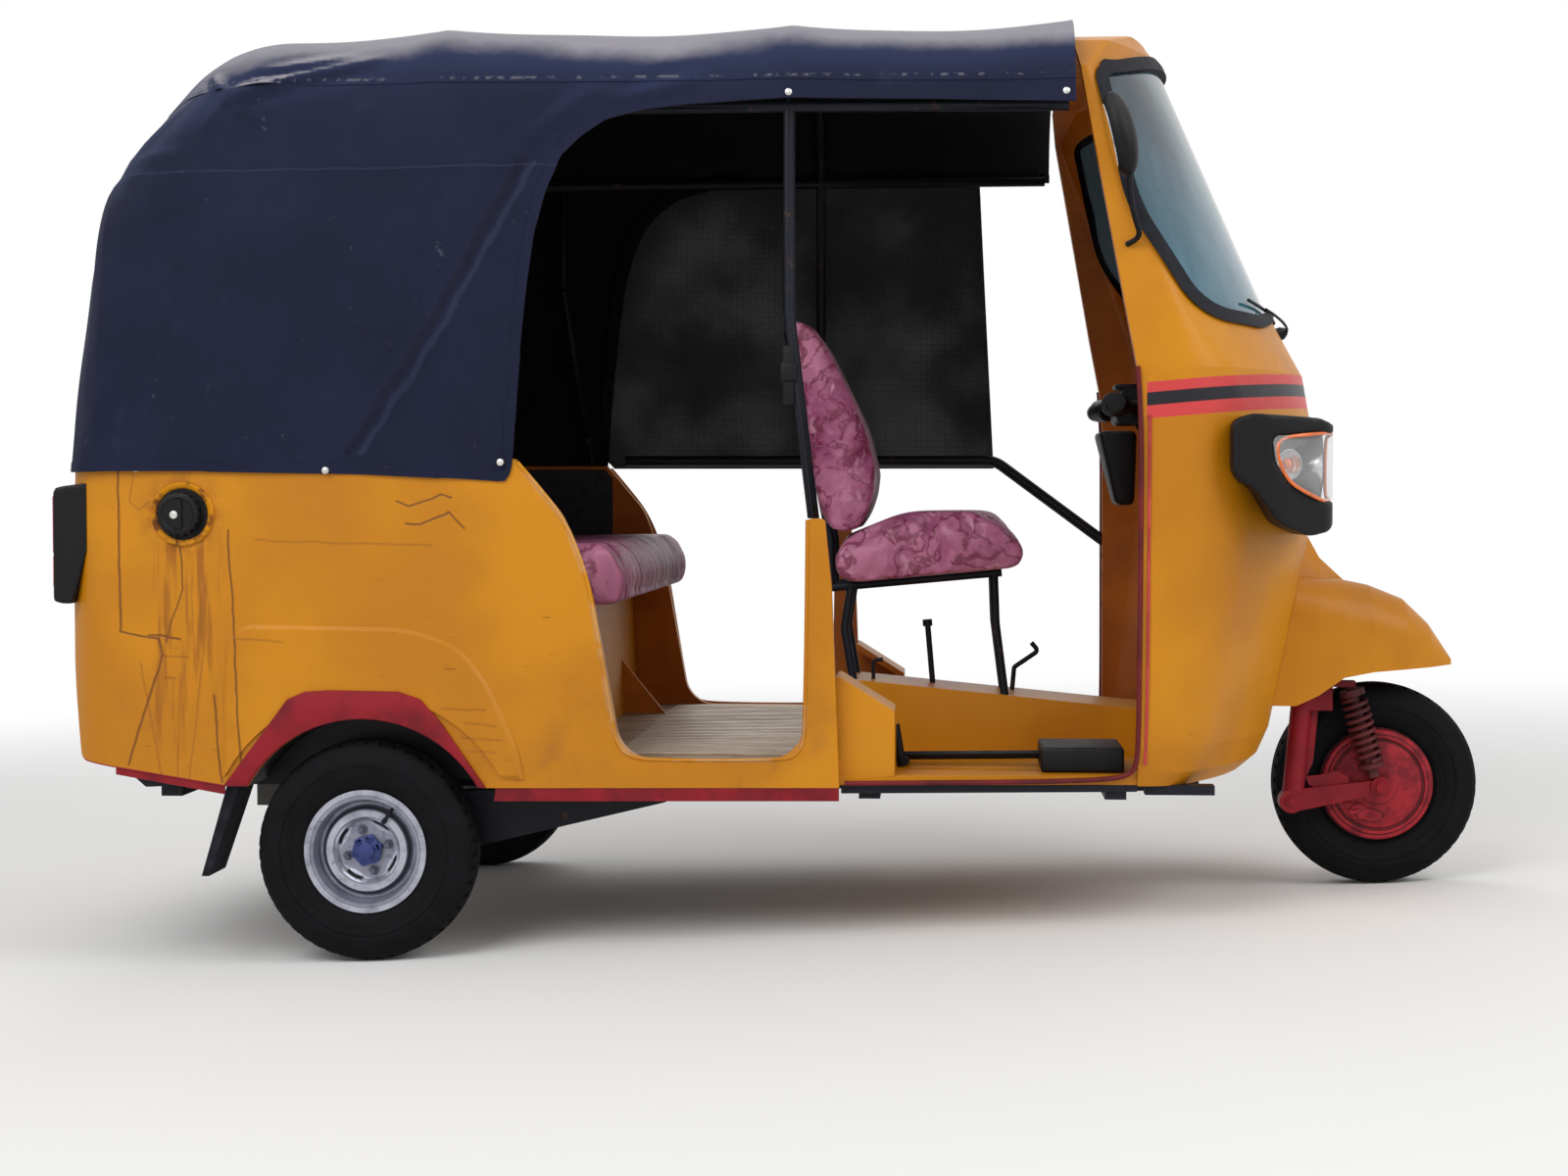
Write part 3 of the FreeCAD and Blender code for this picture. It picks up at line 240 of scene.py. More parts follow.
def takeNode(name, node):
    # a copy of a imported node, with its doubled points merged
    piece = addObject(name, nodes[node].data.copy())
    piece.data.transform(unsettle)
    openMesh(piece)
    bpy.ops.mesh.remove_doubles(threshold=0.0001)
    bpy.ops.object.mode_set(mode="OBJECT")
    return piece


def roundCopy(name, node, voxel, rounds):
    # a packed moulding with its edges rounded off
    piece = takeNode(name, node)
    shape(piece, "REMESH", mode="VOXEL", voxel_size=voxel)
    return shape(piece, "SMOOTH", factor=0.5, iterations=rounds)


def pointsOf(piece):
    places = np.zeros(len(piece.data.vertices) * 3, np.float32)
    piece.data.vertices.foreach_get("co", places)
    return places.reshape(-1, 3)


def movePoints(piece, places):
    piece.data.vertices.foreach_set("co", places.astype(np.float32).ravel())


def finishPiece(piece, material, body="body", replaces=(), crease=35):
    piece.data.transform(settle)
    piece.data.materials.clear()
    piece.data.materials.append(material)
    makeActive(piece)
    bpy.ops.object.shade_smooth_by_angle(angle=math.radians(crease))
    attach(piece, body)
    if replaces:
        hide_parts(*replaces)
    return piece


def finishPair(piece, material, ending="Left"):
    # the piece and its mirror image on the other side
    for half in (mirrorPiece(piece, ending), piece):
        finishPiece(half, material)


# Tools for materials

def paint(*levels):
    # a colour as it is read off a screen, red, green and blue from 0 to 255
    shares = [level / 255 for level in levels]
    return (*[s / 12.92 if s <= 0.04045 else ((s + 0.055) / 1.055) ** 2.4 for s in shares], 1.0)


class Signal:
    # one socket, so that shader maths reads as a plain expression
    def __init__(self, tree, socket):
        self.tree = tree
        self.socket = socket

    def add(self, kind, settings, values, output=0):
        node = self.tree.nodes.new(kind)
        for name, value in settings.items():
            setattr(node, name, value)
        for key, value in values.items():
            if isinstance(value, Signal):
                self.tree.links.new(value.socket, node.inputs[key])
            else:
                node.inputs[key].default_value = value
        return Signal(self.tree, node.outputs[output])

    def maths(self, operation, first, second=0.0):
        return self.add("ShaderNodeMath", {"operation": operation}, {0: first, 1: second})

    def __add__(self, other):
        return self.maths("ADD", self, other)

    def __radd__(self, other):
        return self.maths("ADD", other, self)

    def __sub__(self, other):
        return self.maths("SUBTRACT", self, other)

    def __rsub__(self, other):
        return self.maths("SUBTRACT", other, self)

    def __mul__(self, other):
        return self.maths("MULTIPLY", self, other)

    def __rmul__(self, other):
        return self.maths("MULTIPLY", other, self)

    def __abs__(self):
        return self.maths("ABSOLUTE", self)

    def either(self, other):
        return self.maths("MAXIMUM", self, other)

    def least(self, other):
        return self.maths("MINIMUM", self, other)

    def root(self):
        return self.maths("SQRT", self)

    def sine(self):
        return self.maths("SINE", self)

    def cosine(self):
        return self.maths("COSINE", self)

    def rise(self, low, high, start=0.0, end=1.0):
        # start below low, end above high, eased between
        return self.add("ShaderNodeMapRange", {"interpolation_type": "SMOOTHSTEP"},
                        {"Value": self, "From Min": low, "From Max": high, "To Min": start, "To Max": end})

    def fall(self, low, high):
        return self.rise(low, high, 1.0, 0.0)

    def within(self, low, high, edge):
        return self.rise(low - edge, low + edge) * self.fall(high - edge, high + edge)

    def colour(self, off, on):
        # this mask mixes from one colour to another
        return self.add("ShaderNodeMix", {"data_type": "RGBA", "clamp_factor": True},
                        {0: self, 6: off, 7: on}, 2)

    def parts(self):
        split = self.add("ShaderNodeSeparateXYZ", {}, {0: self})
        return [Signal(self.tree, output) for output in split.socket.node.outputs]

    def stretched(self, sides):
        return self.add("ShaderNodeVectorMath", {"operation": "MULTIPLY"}, {0: self, 1: sides})

    def noise(self, scale, detail=3.0, roughness=0.5, output=0):
        return self.add("ShaderNodeTexNoise", {}, {"Vector": self, "Scale": scale, "Detail": detail,
                                                   "Roughness": roughness}, output)

    def cells(self, scale):
        return self.add("ShaderNodeTexVoronoi", {}, {"Vector": self, "Scale": scale})


def coats(colour, *layers):
    # masks and the colours that they lay on, one over another
    for mask, tone in layers:
        colour = mask.colour(colour, tone)
    return colour


class Finish:
    # a material with the body's own coordinates at hand
    def __init__(self, name, centre=(0, 0, 0)):
        self.material = bpy.data.materials.new(name)
        self.material.use_nodes = True
        tree = self.material.node_tree
        self.shader = tree.nodes["Principled BSDF"]
        start = Signal(tree, tree.nodes.new("ShaderNodeTexCoord").outputs["Object"])
        level = Matrix.Rotation(-stance["turn"], 4, "Y")
        place = level @ (shift - pivot) + pivot - Vector(centre)
        self.place = start.add("ShaderNodeMapping", {},
                               {"Vector": start, "Rotation": (0, -stance["turn"], 0), "Location": place})
        self.x, self.y, self.z = self.place.parts()
        normal = Signal(tree, tree.nodes.new("ShaderNodeNewGeometry").outputs["Normal"])
        self.normal = normal.parts()

    def set(self, **values):
        for key, value in values.items():
            socket = self.shader.inputs[key.replace("_", " ")]
            if isinstance(value, Signal):
                value.tree.links.new(value.socket, socket)
            else:
                socket.default_value = value

    def bump(self, height, distance, strength):
        bumps = {"Height": height, "Distance": distance, "Strength": strength}
        self.set(Normal=height.add("ShaderNodeBump", {}, bumps))

    def reach(self, x=0.0, z=0.0):
        # distance from a place in the side view
        dx, dz = self.x - x, self.z - z
        return (dx * dx + dz * dz).root()

    def scratch(self, points, width, wander=0.006):
        # mask of a wandering line through (x, z) points on the body
        x = self.x + (self.place.noise(14.0, 3.0) - 0.5) * wander * 2
        z = self.z + (self.place.noise(19.0, 3.0) - 0.5) * wander * 2
        nearest = None
        for (x0, z0), (x1, z1) in zip(points, points[1:]):
            dx, dz = x1 - x0, z1 - z0
            size = dx * dx + dz * dz
            share = (x - x0) * (dx / size) + (z - z0) * (dz / size)
            along = share.add("ShaderNodeClamp", {}, {0: share})
            offX, offZ = x - x0 - along * dx, z - z0 - along * dz
            gap = (offX * offX + offZ * offZ).root()
            nearest = gap if nearest is None else nearest.least(gap)
        return nearest.fall(width * 0.3, width)

    def scratches(self, lines, wander):
        # the mask of several such lines
        masks = [self.scratch(points, width, wander) for points, width in lines]
        for mask in masks[1:]:
            masks[0] = masks[0].either(mask)
        return masks[0]


# Paint of the body and cab

bodyPaintLook = {
    "yellow": paint(196, 127, 2), "faded": paint(180, 113, 2), "inside": paint(190, 106, 16),
    "insideDark": paint(162, 84, 15), "rust": paint(112, 52, 20), "dirt": paint(120, 80, 40),
    "crease": paint(84, 44, 18), "scrape": paint(128, 72, 22), "nick": paint(96, 54, 22),
    "speck": paint(110, 60, 24), "bare": paint(205, 196, 170), "red": paint(136, 20, 32),
    "soot": paint(14, 13, 14), "stripeRed": paint(196, 62, 62), "stripeBlack": paint(24, 22, 30),
    "stripeSlope": 0.088, "stripeFront": 1.452, "redBand": (1.014, 1.081), "blackBand": (1.038, 1.062),
    "filler": (-0.337, 0.838), "wheel": (0, 0.2075), "roughness": 0.42,
}
# worn marks and dents on the right body side, drawn as dark lines that are partly painted shade in their
# creases: lines of (x, z) and their width
deepCreases = [
    ([(-0.462, 0.92), (-0.458, 0.618), (-0.385, 0.604), (-0.378, 0.575), (-0.446, 0.37)], 0.0034),
    ([(-0.252, 0.81), (-0.243, 0.64), (-0.231, 0.372)], 0.003),
    ([(-0.345, 0.79), (-0.338, 0.7), (-0.372, 0.6)], 0.0026),
    ([(-0.405, 0.612), (-0.345, 0.606)], 0.0032),
    ([(-0.281, 0.5), (-0.268, 0.34)], 0.0034),
    ([(0.066, 0.862), (0.09, 0.853), (0.15, 0.873), (0.168, 0.868)], 0.003),
    ([(0.083, 0.82), (0.11, 0.818), (0.165, 0.842), (0.192, 0.812)], 0.003),
]
lightCreases = [
    ([(-0.43, 0.92), (-0.438, 0.86), (-0.42, 0.846), (-0.4, 0.862)], 0.003),
    ([(1.552, 0.438), (1.6, 0.447), (1.64, 0.452)], 0.004),
    ([(1.575, 0.424), (1.655, 0.436)], 0.004),
    ([(-0.3, 0.8), (-0.296, 0.62), (-0.31, 0.5), (-0.33, 0.34)], 0.003),
    ([(-0.345, 0.54), (-0.352, 0.345)], 0.003),
    ([(-0.42, 0.56), (-0.38, 0.34)], 0.003),
    ([(-0.2, 0.79), (-0.06, 0.784), (0.13, 0.78)], 0.003),
    ([(-0.24, 0.606), (-0.15, 0.6)], 0.003),
    ([(0.15, 0.478), (0.23, 0.476)], 0.004),
    ([(0.19, 0.452), (0.25, 0.446)], 0.003),
    ([(0.185, 0.424), (0.262, 0.42)], 0.003),
    ([(0.2, 0.398), (0.25, 0.396)], 0.003),
    ([(1.536, 0.429), (1.59, 0.441), (1.626, 0.436)], 0.004),
    ([(1.572, 0.411), (1.608, 0.402)], 0.003),
]
doorFlange = [(0.29, 0.937), (0.378, 0.829), (0.424, 0.703), (0.444, 0.584), (0.468, 0.44),
              (0.49, 0.4), (0.546, 0.384), (0.771, 0.384), (0.812, 0.41), (0.822, 0.487)]


def insideMask(look, centreX):
    # faces that look in towards the cabin
    facing = look.normal[0] * (look.x - centreX) + look.normal[1] * look.y
    return facing.fall(-0.02, 0.0)


def makeBodyPaint():
    p = bodyPaintLook
    look = Finish("bodyPaint")
    x, y, z, place = look.x, look.y, look.z, look.place
    right = y.fall(-0.56, -0.54)
    patches = place.noise(2.3, 4.0).rise(0.42, 0.62)
    fine = place.noise(60.0, 3.0)
    grime = z.fall(0.36, 0.6) * place.noise(9.0, 5.0, 0.65).rise(0.52, 0.74) * x.fall(0.8, 1.0) * 0.4
    # rust round the filler and in streaks below it
    halo = look.reach(*p["filler"]).fall(0.055, 0.1) * 0.5 * place.noise(26.0, 4.0, 0.7).rise(0.36, 0.62)
    runs = place.stretched((30.0, 1.0, 2.6)).noise(1.6, 4.0, 0.6).rise(0.46, 0.66)
    streaks = x.within(-0.4, -0.265, 0.025) * z.within(0.42, 0.79, 0.07) * runs
    rust = (halo + streaks * 0.75) * right
    # creases, scrapes and worn lines, their dark lines partly painted shade in the creases, and a pale line
    # on the doorway flange, partly bare metal and partly a painted highlight
    deep = look.scratches(deepCreases, 0.006)
    light = look.scratches(lightCreases, 0.004)
    nicks = place.stretched((7.0, 7.0, 60.0)).noise(2.2, 2.0).rise(0.7, 0.74)
    zone = x.within(-0.1, 0.42, 0.05) * z.within(0.36, 0.7, 0.05)
    zone = zone.either(x.within(-0.56, -0.24, 0.03) * z.within(0.36, 0.62, 0.05))
    specks = place.cells(38.0).fall(0.03, 0.06) * place.noise(5.0, 2.0).rise(0.5, 0.62)
    # a pale line along the doorway flange: partly bare metal, partly a painted highlight
    flangeWearAndHighlight = look.scratch(doorFlange, 0.009, 0.003) * place.noise(30.0, 3.0).rise(0.38, 0.55)
    # red lower edge of the tail, and three stripes round the cab
    edge = (z + (x + 0.262) * 0.161 - 0.332).fall(-0.0005, 0.0005) * x.fall(-0.262, -0.26)
    level = z - (x - p["stripeFront"]) * p["stripeSlope"]
    nose = x.rise(1.449, 1.451)
    wear = place.noise(60.0, 4.0).rise(0.22, 0.3)
    # the cabin's side in a deeper orange, and painted shade, near black, inside the wheel arch
    inner = insideMask(look, 1.2) * x.rise(1.0, 1.01)
    inner = inner.either(insideMask(look, 0.2) * x.fall(1.0, 1.01))
    inside = place.noise(7.0, 4.0).rise(0.35, 0.7).colour(p["inside"], p["insideDark"])
    soot = look.reach(*p["wheel"]).fall(0.262, 0.268) * abs(y).fall(0.645, 0.65)
    colour = coats(
        patches.colour(p["yellow"], p["faded"]), (grime, p["dirt"]), (rust * 0.8, p["rust"]),
        (deep * right * 0.72, p["crease"]), (light * right * 0.42, p["scrape"]),
        (nicks * zone * right * 0.7, p["nick"]), (specks * 0.7, p["speck"]), (flangeWearAndHighlight * 0.18, p["bare"]),
        (edge * abs(y).rise(0.5, 0.52), p["red"]),
        (level.within(*p["redBand"], 0.001) * nose * wear, p["stripeRed"]),
        (level.within(*p["blackBand"], 0.001) * nose * wear, p["stripeBlack"]),
        (inner, inside), (soot, p["soot"]))
    look.set(Base_Color=colour, Roughness=p["roughness"] + fine * 0.16 + rust * 0.25 + grime * 0.3,
             Specular_IOR_Level=0.25, Coat_Weight=0.12, Coat_Roughness=0.2)
    look.bump(place.noise(5.0, 2.0) * 0.6 + fine * 0.02 - deep * 0.25, 0.006, 0.5)
    return look.material


# Red, black, rubber and bare metal finishes

def makeRedPaint(name="redPaint", colour=(136, 20, 32), dark=(104, 14, 24), roughness=0.5):
    look = Finish(name)
    blotch = look.place.noise(11.0, 5.0, 0.6).rise(0.36, 0.66)
    chips = look.place.noise(70.0, 4.0, 0.7).rise(0.64, 0.7) * look.place.noise(8.0, 2.0).rise(0.5, 0.6)
    tone = coats(blotch.colour(paint(*colour), paint(*dark)), (chips * 0.8, paint(60, 44, 38)))
    look.set(Base_Color=tone, Roughness=roughness + chips * 0.3 + blotch * 0.08, Specular_IOR_Level=0.25)
    look.bump(look.place.noise(90.0, 3.0) * 0.3 + look.place.noise(6.0, 2.0) - chips * 0.3, 0.0015, 0.5)
    return look.material


def makeWorn(name, colours, blotch, edge, roughness, grain, depth, pits=0.0, **settings):
    # one colour worn to another in blotches, over a fine grain
    look = Finish(name)
    worn = look.place.noise(*blotch).rise(*edge)
    look.set(Base_Color=worn.colour(*colours), Roughness=roughness[0] + worn * roughness[1], **settings)
    look.bump(look.place.noise(*grain) - worn * pits, *depth)
    return look.material


wornLooks = {
    "framePaint": {"colours": (paint(24, 26, 34), paint(76, 54, 42)), "blotch": (24.0, 5.0, 0.65),
                   "edge": (0.6, 0.72), "roughness": (0.45, 0.3), "grain": (140.0, 3.0),
                   "depth": (0.0008, 0.5), "pits": 0.3, "Specular_IOR_Level": 0.18},
    "rubberTrim": {"colours": (paint(16, 17, 24), paint(38, 40, 48)), "blotch": (30.0, 5.0),
                   "edge": (0.45, 0.75), "roughness": (0.6, 0.2), "grain": (260.0, 2.0),
                   "depth": (0.0004, 0.6), "Specular_IOR_Level": 0.15},
    "castMetal": {"colours": (paint(78, 76, 74), paint(34, 30, 28)), "blotch": (9.0, 5.0, 0.6),
                  "edge": (0.4, 0.66), "roughness": (0.6, 0.2), "grain": (150.0, 4.0),
                  "depth": (0.001, 0.7), "Metallic": 0.4},
    "tyreRubber": {"colours": (paint(8, 8, 11), paint(20, 20, 23)), "blotch": (20.0, 5.0, 0.6),
                   "edge": (0.42, 0.72), "roughness": (0.68, 0.16), "grain": (240.0, 3.0),
                   "depth": (0.0006, 0.5), "Specular_IOR_Level": 0.12},
}


def makePlain(name, colour, roughness, metallic=0.0, coat=0.0):
    darker = tuple(c * 0.72 for c in colour[:3]) + (1.0,)
    return makeWorn(name, (colour, darker), (40.0, 4.0, 0.6), (0.4, 0.7), (roughness, 0.12), (200.0, 3.0),
                    (0.0004, 0.4), Metallic=metallic, Coat_Weight=coat)


def makePlastic():
    look = Finish("blackPlastic")
    dust = look.place.noise(18.0, 5.0, 0.6).rise(0.4, 0.72) * look.normal[2].rise(0.0, 0.9)
    look.set(Base_Color=(dust * 0.6).colour(paint(17, 17, 20), paint(84, 82, 80)),
             Roughness=0.48 + dust * 0.25, Specular_IOR_Level=0.18)
    look.bump(look.place.noise(420.0, 2.0), 0.0004, 0.6)
    return look.material


def makeFloorMetal():
    look = Finish("floorMetal")
    rubbed = look.place.stretched((1.0, 9.0, 1.0)).noise(7.0, 5.0, 0.6).rise(0.35, 0.7)
    rib = look.z.rise(0.3825, 0.3855)
    tone = coats(rubbed.colour(paint(176, 158, 134), paint(120, 92, 62)), (rib * 0.6, paint(214, 204, 190)))
    look.set(Base_Color=tone, Roughness=0.42 + rubbed * 0.3, Metallic=0.55)
    look.bump(look.place.stretched((2.0, 60.0, 2.0)).noise(9.0, 3.0), 0.0006, 0.5)
    return look.material


def makeWheelSilver():
    # silver with painted shade in the pressed grooves and on the barrel, and darker nuts, by distance from
    # the axle
    look = Finish("wheelSilver", (0, 0, 0.2075))
    r = look.reach()
    dull = look.place.noise(26.0, 5.0, 0.6).rise(0.36, 0.7)
    chips = look.place.noise(120.0, 4.0, 0.75).rise(0.63, 0.68)
    # painted shade on the recessed barrel and in the grooves
    barrel = r.within(0.0835, 0.103, 0.0015)
    groove = r.within(0.0775, 0.0835, 0.002).either(r.within(0.1035, 0.1055, 0.0008) * 0.7)
    groove = groove.either(r.within(0.0905, 0.0925, 0.001) * 0.5)
    nuts = (abs(look.y) - 0.6).rise(0.0136, 0.0142) * r.within(0.0265, 0.052, 0.0005)
    tone = coats(dull.colour(paint(176, 178, 190), paint(132, 134, 148)), (chips * 0.85, paint(60, 54, 52)),
                 (barrel * 0.55, paint(96, 98, 118)), (groove * 0.9, paint(28, 28, 36)),
                 (nuts * 0.9, paint(70, 72, 88)))
    look.set(Base_Color=tone, Roughness=0.34 + dull * 0.2 + chips * 0.3, Metallic=0.45)
    look.bump(look.place.noise(180.0, 3.0) * 0.5 - chips * 0.4, 0.0005, 0.6)
    return look.material


def makeGlass():
    look = Finish("screenGlass")
    smear = look.place.stretched((1.0, 1.0, 0.35)).noise(6.0, 4.0, 0.6).rise(0.35, 0.75)
    tint = look.z.rise(1.25, 1.66).colour(paint(50, 98, 118), paint(22, 44, 58))
    look.set(Base_Color=(smear * 0.4).colour(tint, paint(104, 148, 160)), Alpha=0.86 + smear * 0.06,
             Roughness=0.05, Specular_IOR_Level=0.3, Coat_Weight=0.15, Coat_Roughness=0.03)
    return look.material


def makeLampGlass():
    look = Finish("lampGlass")
    look.set(Base_Color=paint(226, 228, 226), Roughness=0.05, Alpha=0.24, Coat_Weight=1.0,
             Coat_Roughness=0.03)
    look.bump((look.y * 520.0).sine(), 0.0006, 0.4)
    return look.material


# Cloths

def makeHoodCloth():
    look = Finish("hoodCloth")
    place, up = look.place, look.normal[2]
    cloudy = place.noise(4.5, 5.0, 0.6)
    # pale grey on the top faces: dust, and a painted sheen where the top is seen at a grazing angle
    dustAndSheen = (up + (cloudy - 0.5) * 0.3).rise(0.64, 0.88) * (0.72 + cloudy * 0.3)
    side = place.stretched((1.0, 1.0, 0.5)).noise(9.0, 5.0, 0.65).rise(0.56, 0.82)
    seam = place.noise(60.0, 3.0).rise(0.5, 0.62) * look.z.within(1.644, 1.649, 0.002)
    # the long fold above the wheel, with painted shade on one flank and a painted highlight on the other, and
    # a faint painted highlight along a line across
    dark = look.scratch([(0.3, 1.486), (0.128, 1.18), (-0.02, 0.954)], 0.012, 0.012)
    pale = look.scratch([(0.322, 1.484), (0.15, 1.176), (0.002, 0.95)], 0.008, 0.012)
    line = look.scratch([(-0.47, 1.47), (-0.1, 1.476), (0.4, 1.482)], 0.002, 0.004)
    chalk = place.noise(30.0, 5.0, 0.7).rise(0.66, 0.74)
    inner = up.fall(-0.35, -0.2).either((look.normal[1] * look.y).fall(-0.05, -0.02))
    # faces that look up are a lighter navy: painted light
    tone = coats(
        cloudy.rise(0.35, 0.68).colour(paint(18, 22, 46), paint(24, 28, 54)),
        (up.rise(0.3, 0.7), paint(31, 39, 70)), (side * 0.24, paint(58, 64, 92)),
        (dustAndSheen, paint(150, 147, 154)), (seam * 0.5, paint(120, 118, 124)), (dark * 0.5, paint(9, 11, 24)),
        ((pale * 0.5).either(line * 0.6) * 0.5, paint(64, 70, 98)), (chalk * 0.22, paint(120, 124, 140)),
        (inner, paint(14, 14, 19)))
    look.set(Base_Color=tone, Roughness=0.7 + dustAndSheen * 0.16, Sheen_Weight=0.03, Specular_IOR_Level=0.15)
    weave = (look.x * 2600.0).sine() * (look.z * 2600.0).sine()
    look.bump(weave * 0.2 + place.noise(7.0, 3.0) * 3.0 + place.noise(34.0, 3.0) * 0.7, 0.0022, 0.6)
    return look.material


def makeMesh():
    look = Finish("curtainMesh")
    warp, weft = (look.x * 1150.0).sine(), (look.z * 1150.0).sine()
    holes = (warp * weft).rise(0.55, 0.8)
    cloudy = look.place.noise(3.4, 4.0).rise(0.42, 0.68)
    look.set(Base_Color=cloudy.colour(paint(15, 15, 18), paint(28, 29, 33)), Roughness=0.82,
             Alpha=1.0 - holes * (0.22 + cloudy * 0.22), Specular_IOR_Level=0.15)
    look.bump(warp + weft, 0.0004, 0.7)
    return look.material


def makeSeatVinyl():
    look = Finish("seatVinyl")
    place = look.place
    twist = place.noise(5.0, 4.0, 0.6, 1).stretched((0.22,) * 3)
    swirl = place.add("ShaderNodeVectorMath", {"operation": "ADD"}, {0: place, 1: twist})
    veins = abs(swirl.noise(13.0, 4.0, 0.55) - 0.5).fall(0.0, 0.045)
    clouds = swirl.noise(7.0, 4.0, 0.6).rise(0.38, 0.66)
    pale = swirl.noise(21.0, 3.0).rise(0.58, 0.72)
    soil = place.noise(3.0, 5.0, 0.6).rise(0.5, 0.8)
    # the bench's front, darker: painted shade under its roll, with some dirt
    front = look.x.within(0.43, 0.56, 0.03) * look.z.fall(0.745, 0.785)
    tone = coats(clouds.colour(paint(182, 112, 142), paint(146, 72, 108)), (pale * 0.5, paint(216, 164, 182)),
                 (veins * 0.8, paint(104, 30, 54)), (soil * 0.25, paint(110, 70, 70)),
                 (front * 0.5, paint(92, 32, 56)))
    look.set(Base_Color=tone, Roughness=0.46 + soil * 0.2, Specular_IOR_Level=0.3, Coat_Weight=0.06)
    look.bump(place.noise(9.0, 3.0) * 2.0 + place.cells(240.0) * 0.12, 0.002, 0.5)
    return look.material


bodyPaint = makeBodyPaint()
redPaint = makeRedPaint()
framePaint, rubberTrim, castMetal, tyreRubber = [makeWorn(name, **look) for name, look in wornLooks.items()]
blackPlastic = makePlastic()
floorMetal = makeFloorMetal()
wheelSilver = makeWheelSilver()
rimRed = makeRedPaint("rimRed", (108, 22, 32), (62, 16, 22))
screenGlass = makeGlass()
lampGlass = makeLampGlass()
hoodCloth = makeHoodCloth()
curtainMesh = makeMesh()
seatVinyl = makeSeatVinyl()
capBlue = makePlain("capBlue", paint(24, 44, 112), 0.4, coat=0.2)
snapMetal = makePlain("snapMetal", paint(214, 214, 210), 0.3, 0.7)
print("materials made")

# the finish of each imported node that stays
nodeFinish = {
    bodyPaint: ["body_tub", "tail_lid", "inner_panels", "seat_box", "driver_floor", "cab_shell",
                "front_fender"],
    redPaint: ["arch_flares", "front_fork", "front_link", "brake_plate", "spring_damper"],
    floorMetal: ["passenger_floor"],
    rubberTrim: ["screen_seal", "mud_flaps"],
    screenGlass: ["windscreen"],
    lampGlass: ["headlamp_lenses"],
    blackPlastic: ["headlamp_pods", "handlebar", "fuel_cap", "tail_lamps", "mirrors"],
    framePaint: ["steering_head", "steering_column", "rear_arms", "underframe", "tube_frame", "side_rail",
                 "seat_frame", "plate_bracket", "levers"],
    castMetal: ["engine_block", "drive_shafts"],
    tyreRubber: ["front_tyre", "rear_tyre_right", "rear_tyre_left"],
    wheelSilver: ["rear_rim_right", "rear_rim_left"],
    rimRed: ["front_rim"],
    hoodCloth: ["hood"],
    curtainMesh: ["side_curtain"],
    seatVinyl: ["bench", "bench_back", "driver_cushion", "driver_backrest"],
}
for material, names in nodeFinish.items():
    for name in names:
        nodes[name].data.materials.clear()
        nodes[name].data.materials.append(material)
        makeActive(nodes[name])
        bpy.ops.object.shade_smooth_by_angle(angle=math.radians(30))


# Hood: one cloth skin over the bows, in a roof panel and a skirt that are sewn together

hoodLook = {
    "halfWidth": 0.6605, "frontHalf": 0.6165, "sideTop": 0.6765, "sideLean": 0.1875, "crown": 1.7965,
    "crownFall": 0.0594, "shoulder": 0.19, "backCorner": 0.08, "bayDrop": 0.017, "seamHeight": 1.648,
    "front": 1.317, "thickness": 0.0022, "pitch": 0.014, "hemWidth": 0.018, "tape": 0.0012, "foldGain": 1.6,
    "bows": [-0.3, 0.131, 0.791, 1.317], "flat": (1.9, 3.6), "area": 5.1,
}
# lower edge of the skirt on each side: x, z
hoodHem = [
    (1.317, 1.594), (1.05, 1.6), (0.792, 1.603), (0.6, 1.592), (0.53, 1.584), (0.457, 1.566),
    (0.41, 1.535), (0.374, 1.499), (0.345, 1.43), (0.325, 1.355), (0.311, 1.256), (0.3, 1.156),
    (0.291, 1.05), (0.285, 0.955), (0.28, 0.915), (0.268, 0.898), (0.2, 0.903), (0.0, 0.913),
    (-0.3, 0.918), (-0.6, 0.918),
]
# folds on the side: from, to, height, width
hoodFolds = [
    ((0.303, 1.488), (0.13, 1.18), 0.004, 0.016), ((0.15, 1.2), (-0.019, 0.956), 0.006, 0.018),
    ((-0.431, 1.158), (-0.506, 0.985), 0.006, 0.014), ((-0.47, 1.3), (-0.5, 0.93), 0.004, 0.02),
    ((-0.262, 1.617), (-0.33, 1.69), 0.005, 0.009), ((-0.262, 1.617), (-0.13, 1.65), 0.005, 0.01),
    ((-0.262, 1.617), (-0.18, 1.56), 0.004, 0.01), ((-0.262, 1.617), (-0.3, 1.54), 0.004, 0.01),
    ((-0.25, 1.625), (0.02, 1.69), 0.005, 0.012), ((-0.18, 1.668), (-0.03, 1.7), 0.005, 0.009),
    ((-0.466, 1.494), (-0.344, 1.504), 0.006, 0.01), ((-0.466, 1.48), (-0.36, 1.45), 0.004, 0.01),
    ((-0.466, 1.5), (-0.33, 1.64), 0.006, 0.012), ((-0.48, 1.47), (-0.5, 1.3), 0.004, 0.012),
    ((-0.43, 1.492), (0.4, 1.478), 0.0016, 0.007),
    ((0.14, 1.5), (0.08, 1.25), 0.002, 0.03), ((-0.1, 1.45), (-0.15, 1.1), 0.002, 0.04),
    ((0.42, 1.61), (0.23, 1.47), 0.003, 0.02), ((0.62, 1.64), (0.48, 1.6), 0.003, 0.016),
]


def smoothMax(a, b, reach):
    near = np.maximum(reach - np.abs(a - b), 0) / reach
    return np.maximum(a, b) + near * near * reach / 4


def bayDrop(x):
    # how far the cloth sags between two bows
    bows = hoodLook["bows"]
    drop = np.zeros_like(x)
    for back, front in zip(bows, bows[1:]):
        share = np.clip((x - back) / (front - back), 0, 1)
        depth = hoodLook["bayDrop"] * (front - back) / 0.6
        drop += depth * np.minimum(np.sin(np.pi * share) ** 0.8, 1) * (share > 0) * (share < 1)
    return drop


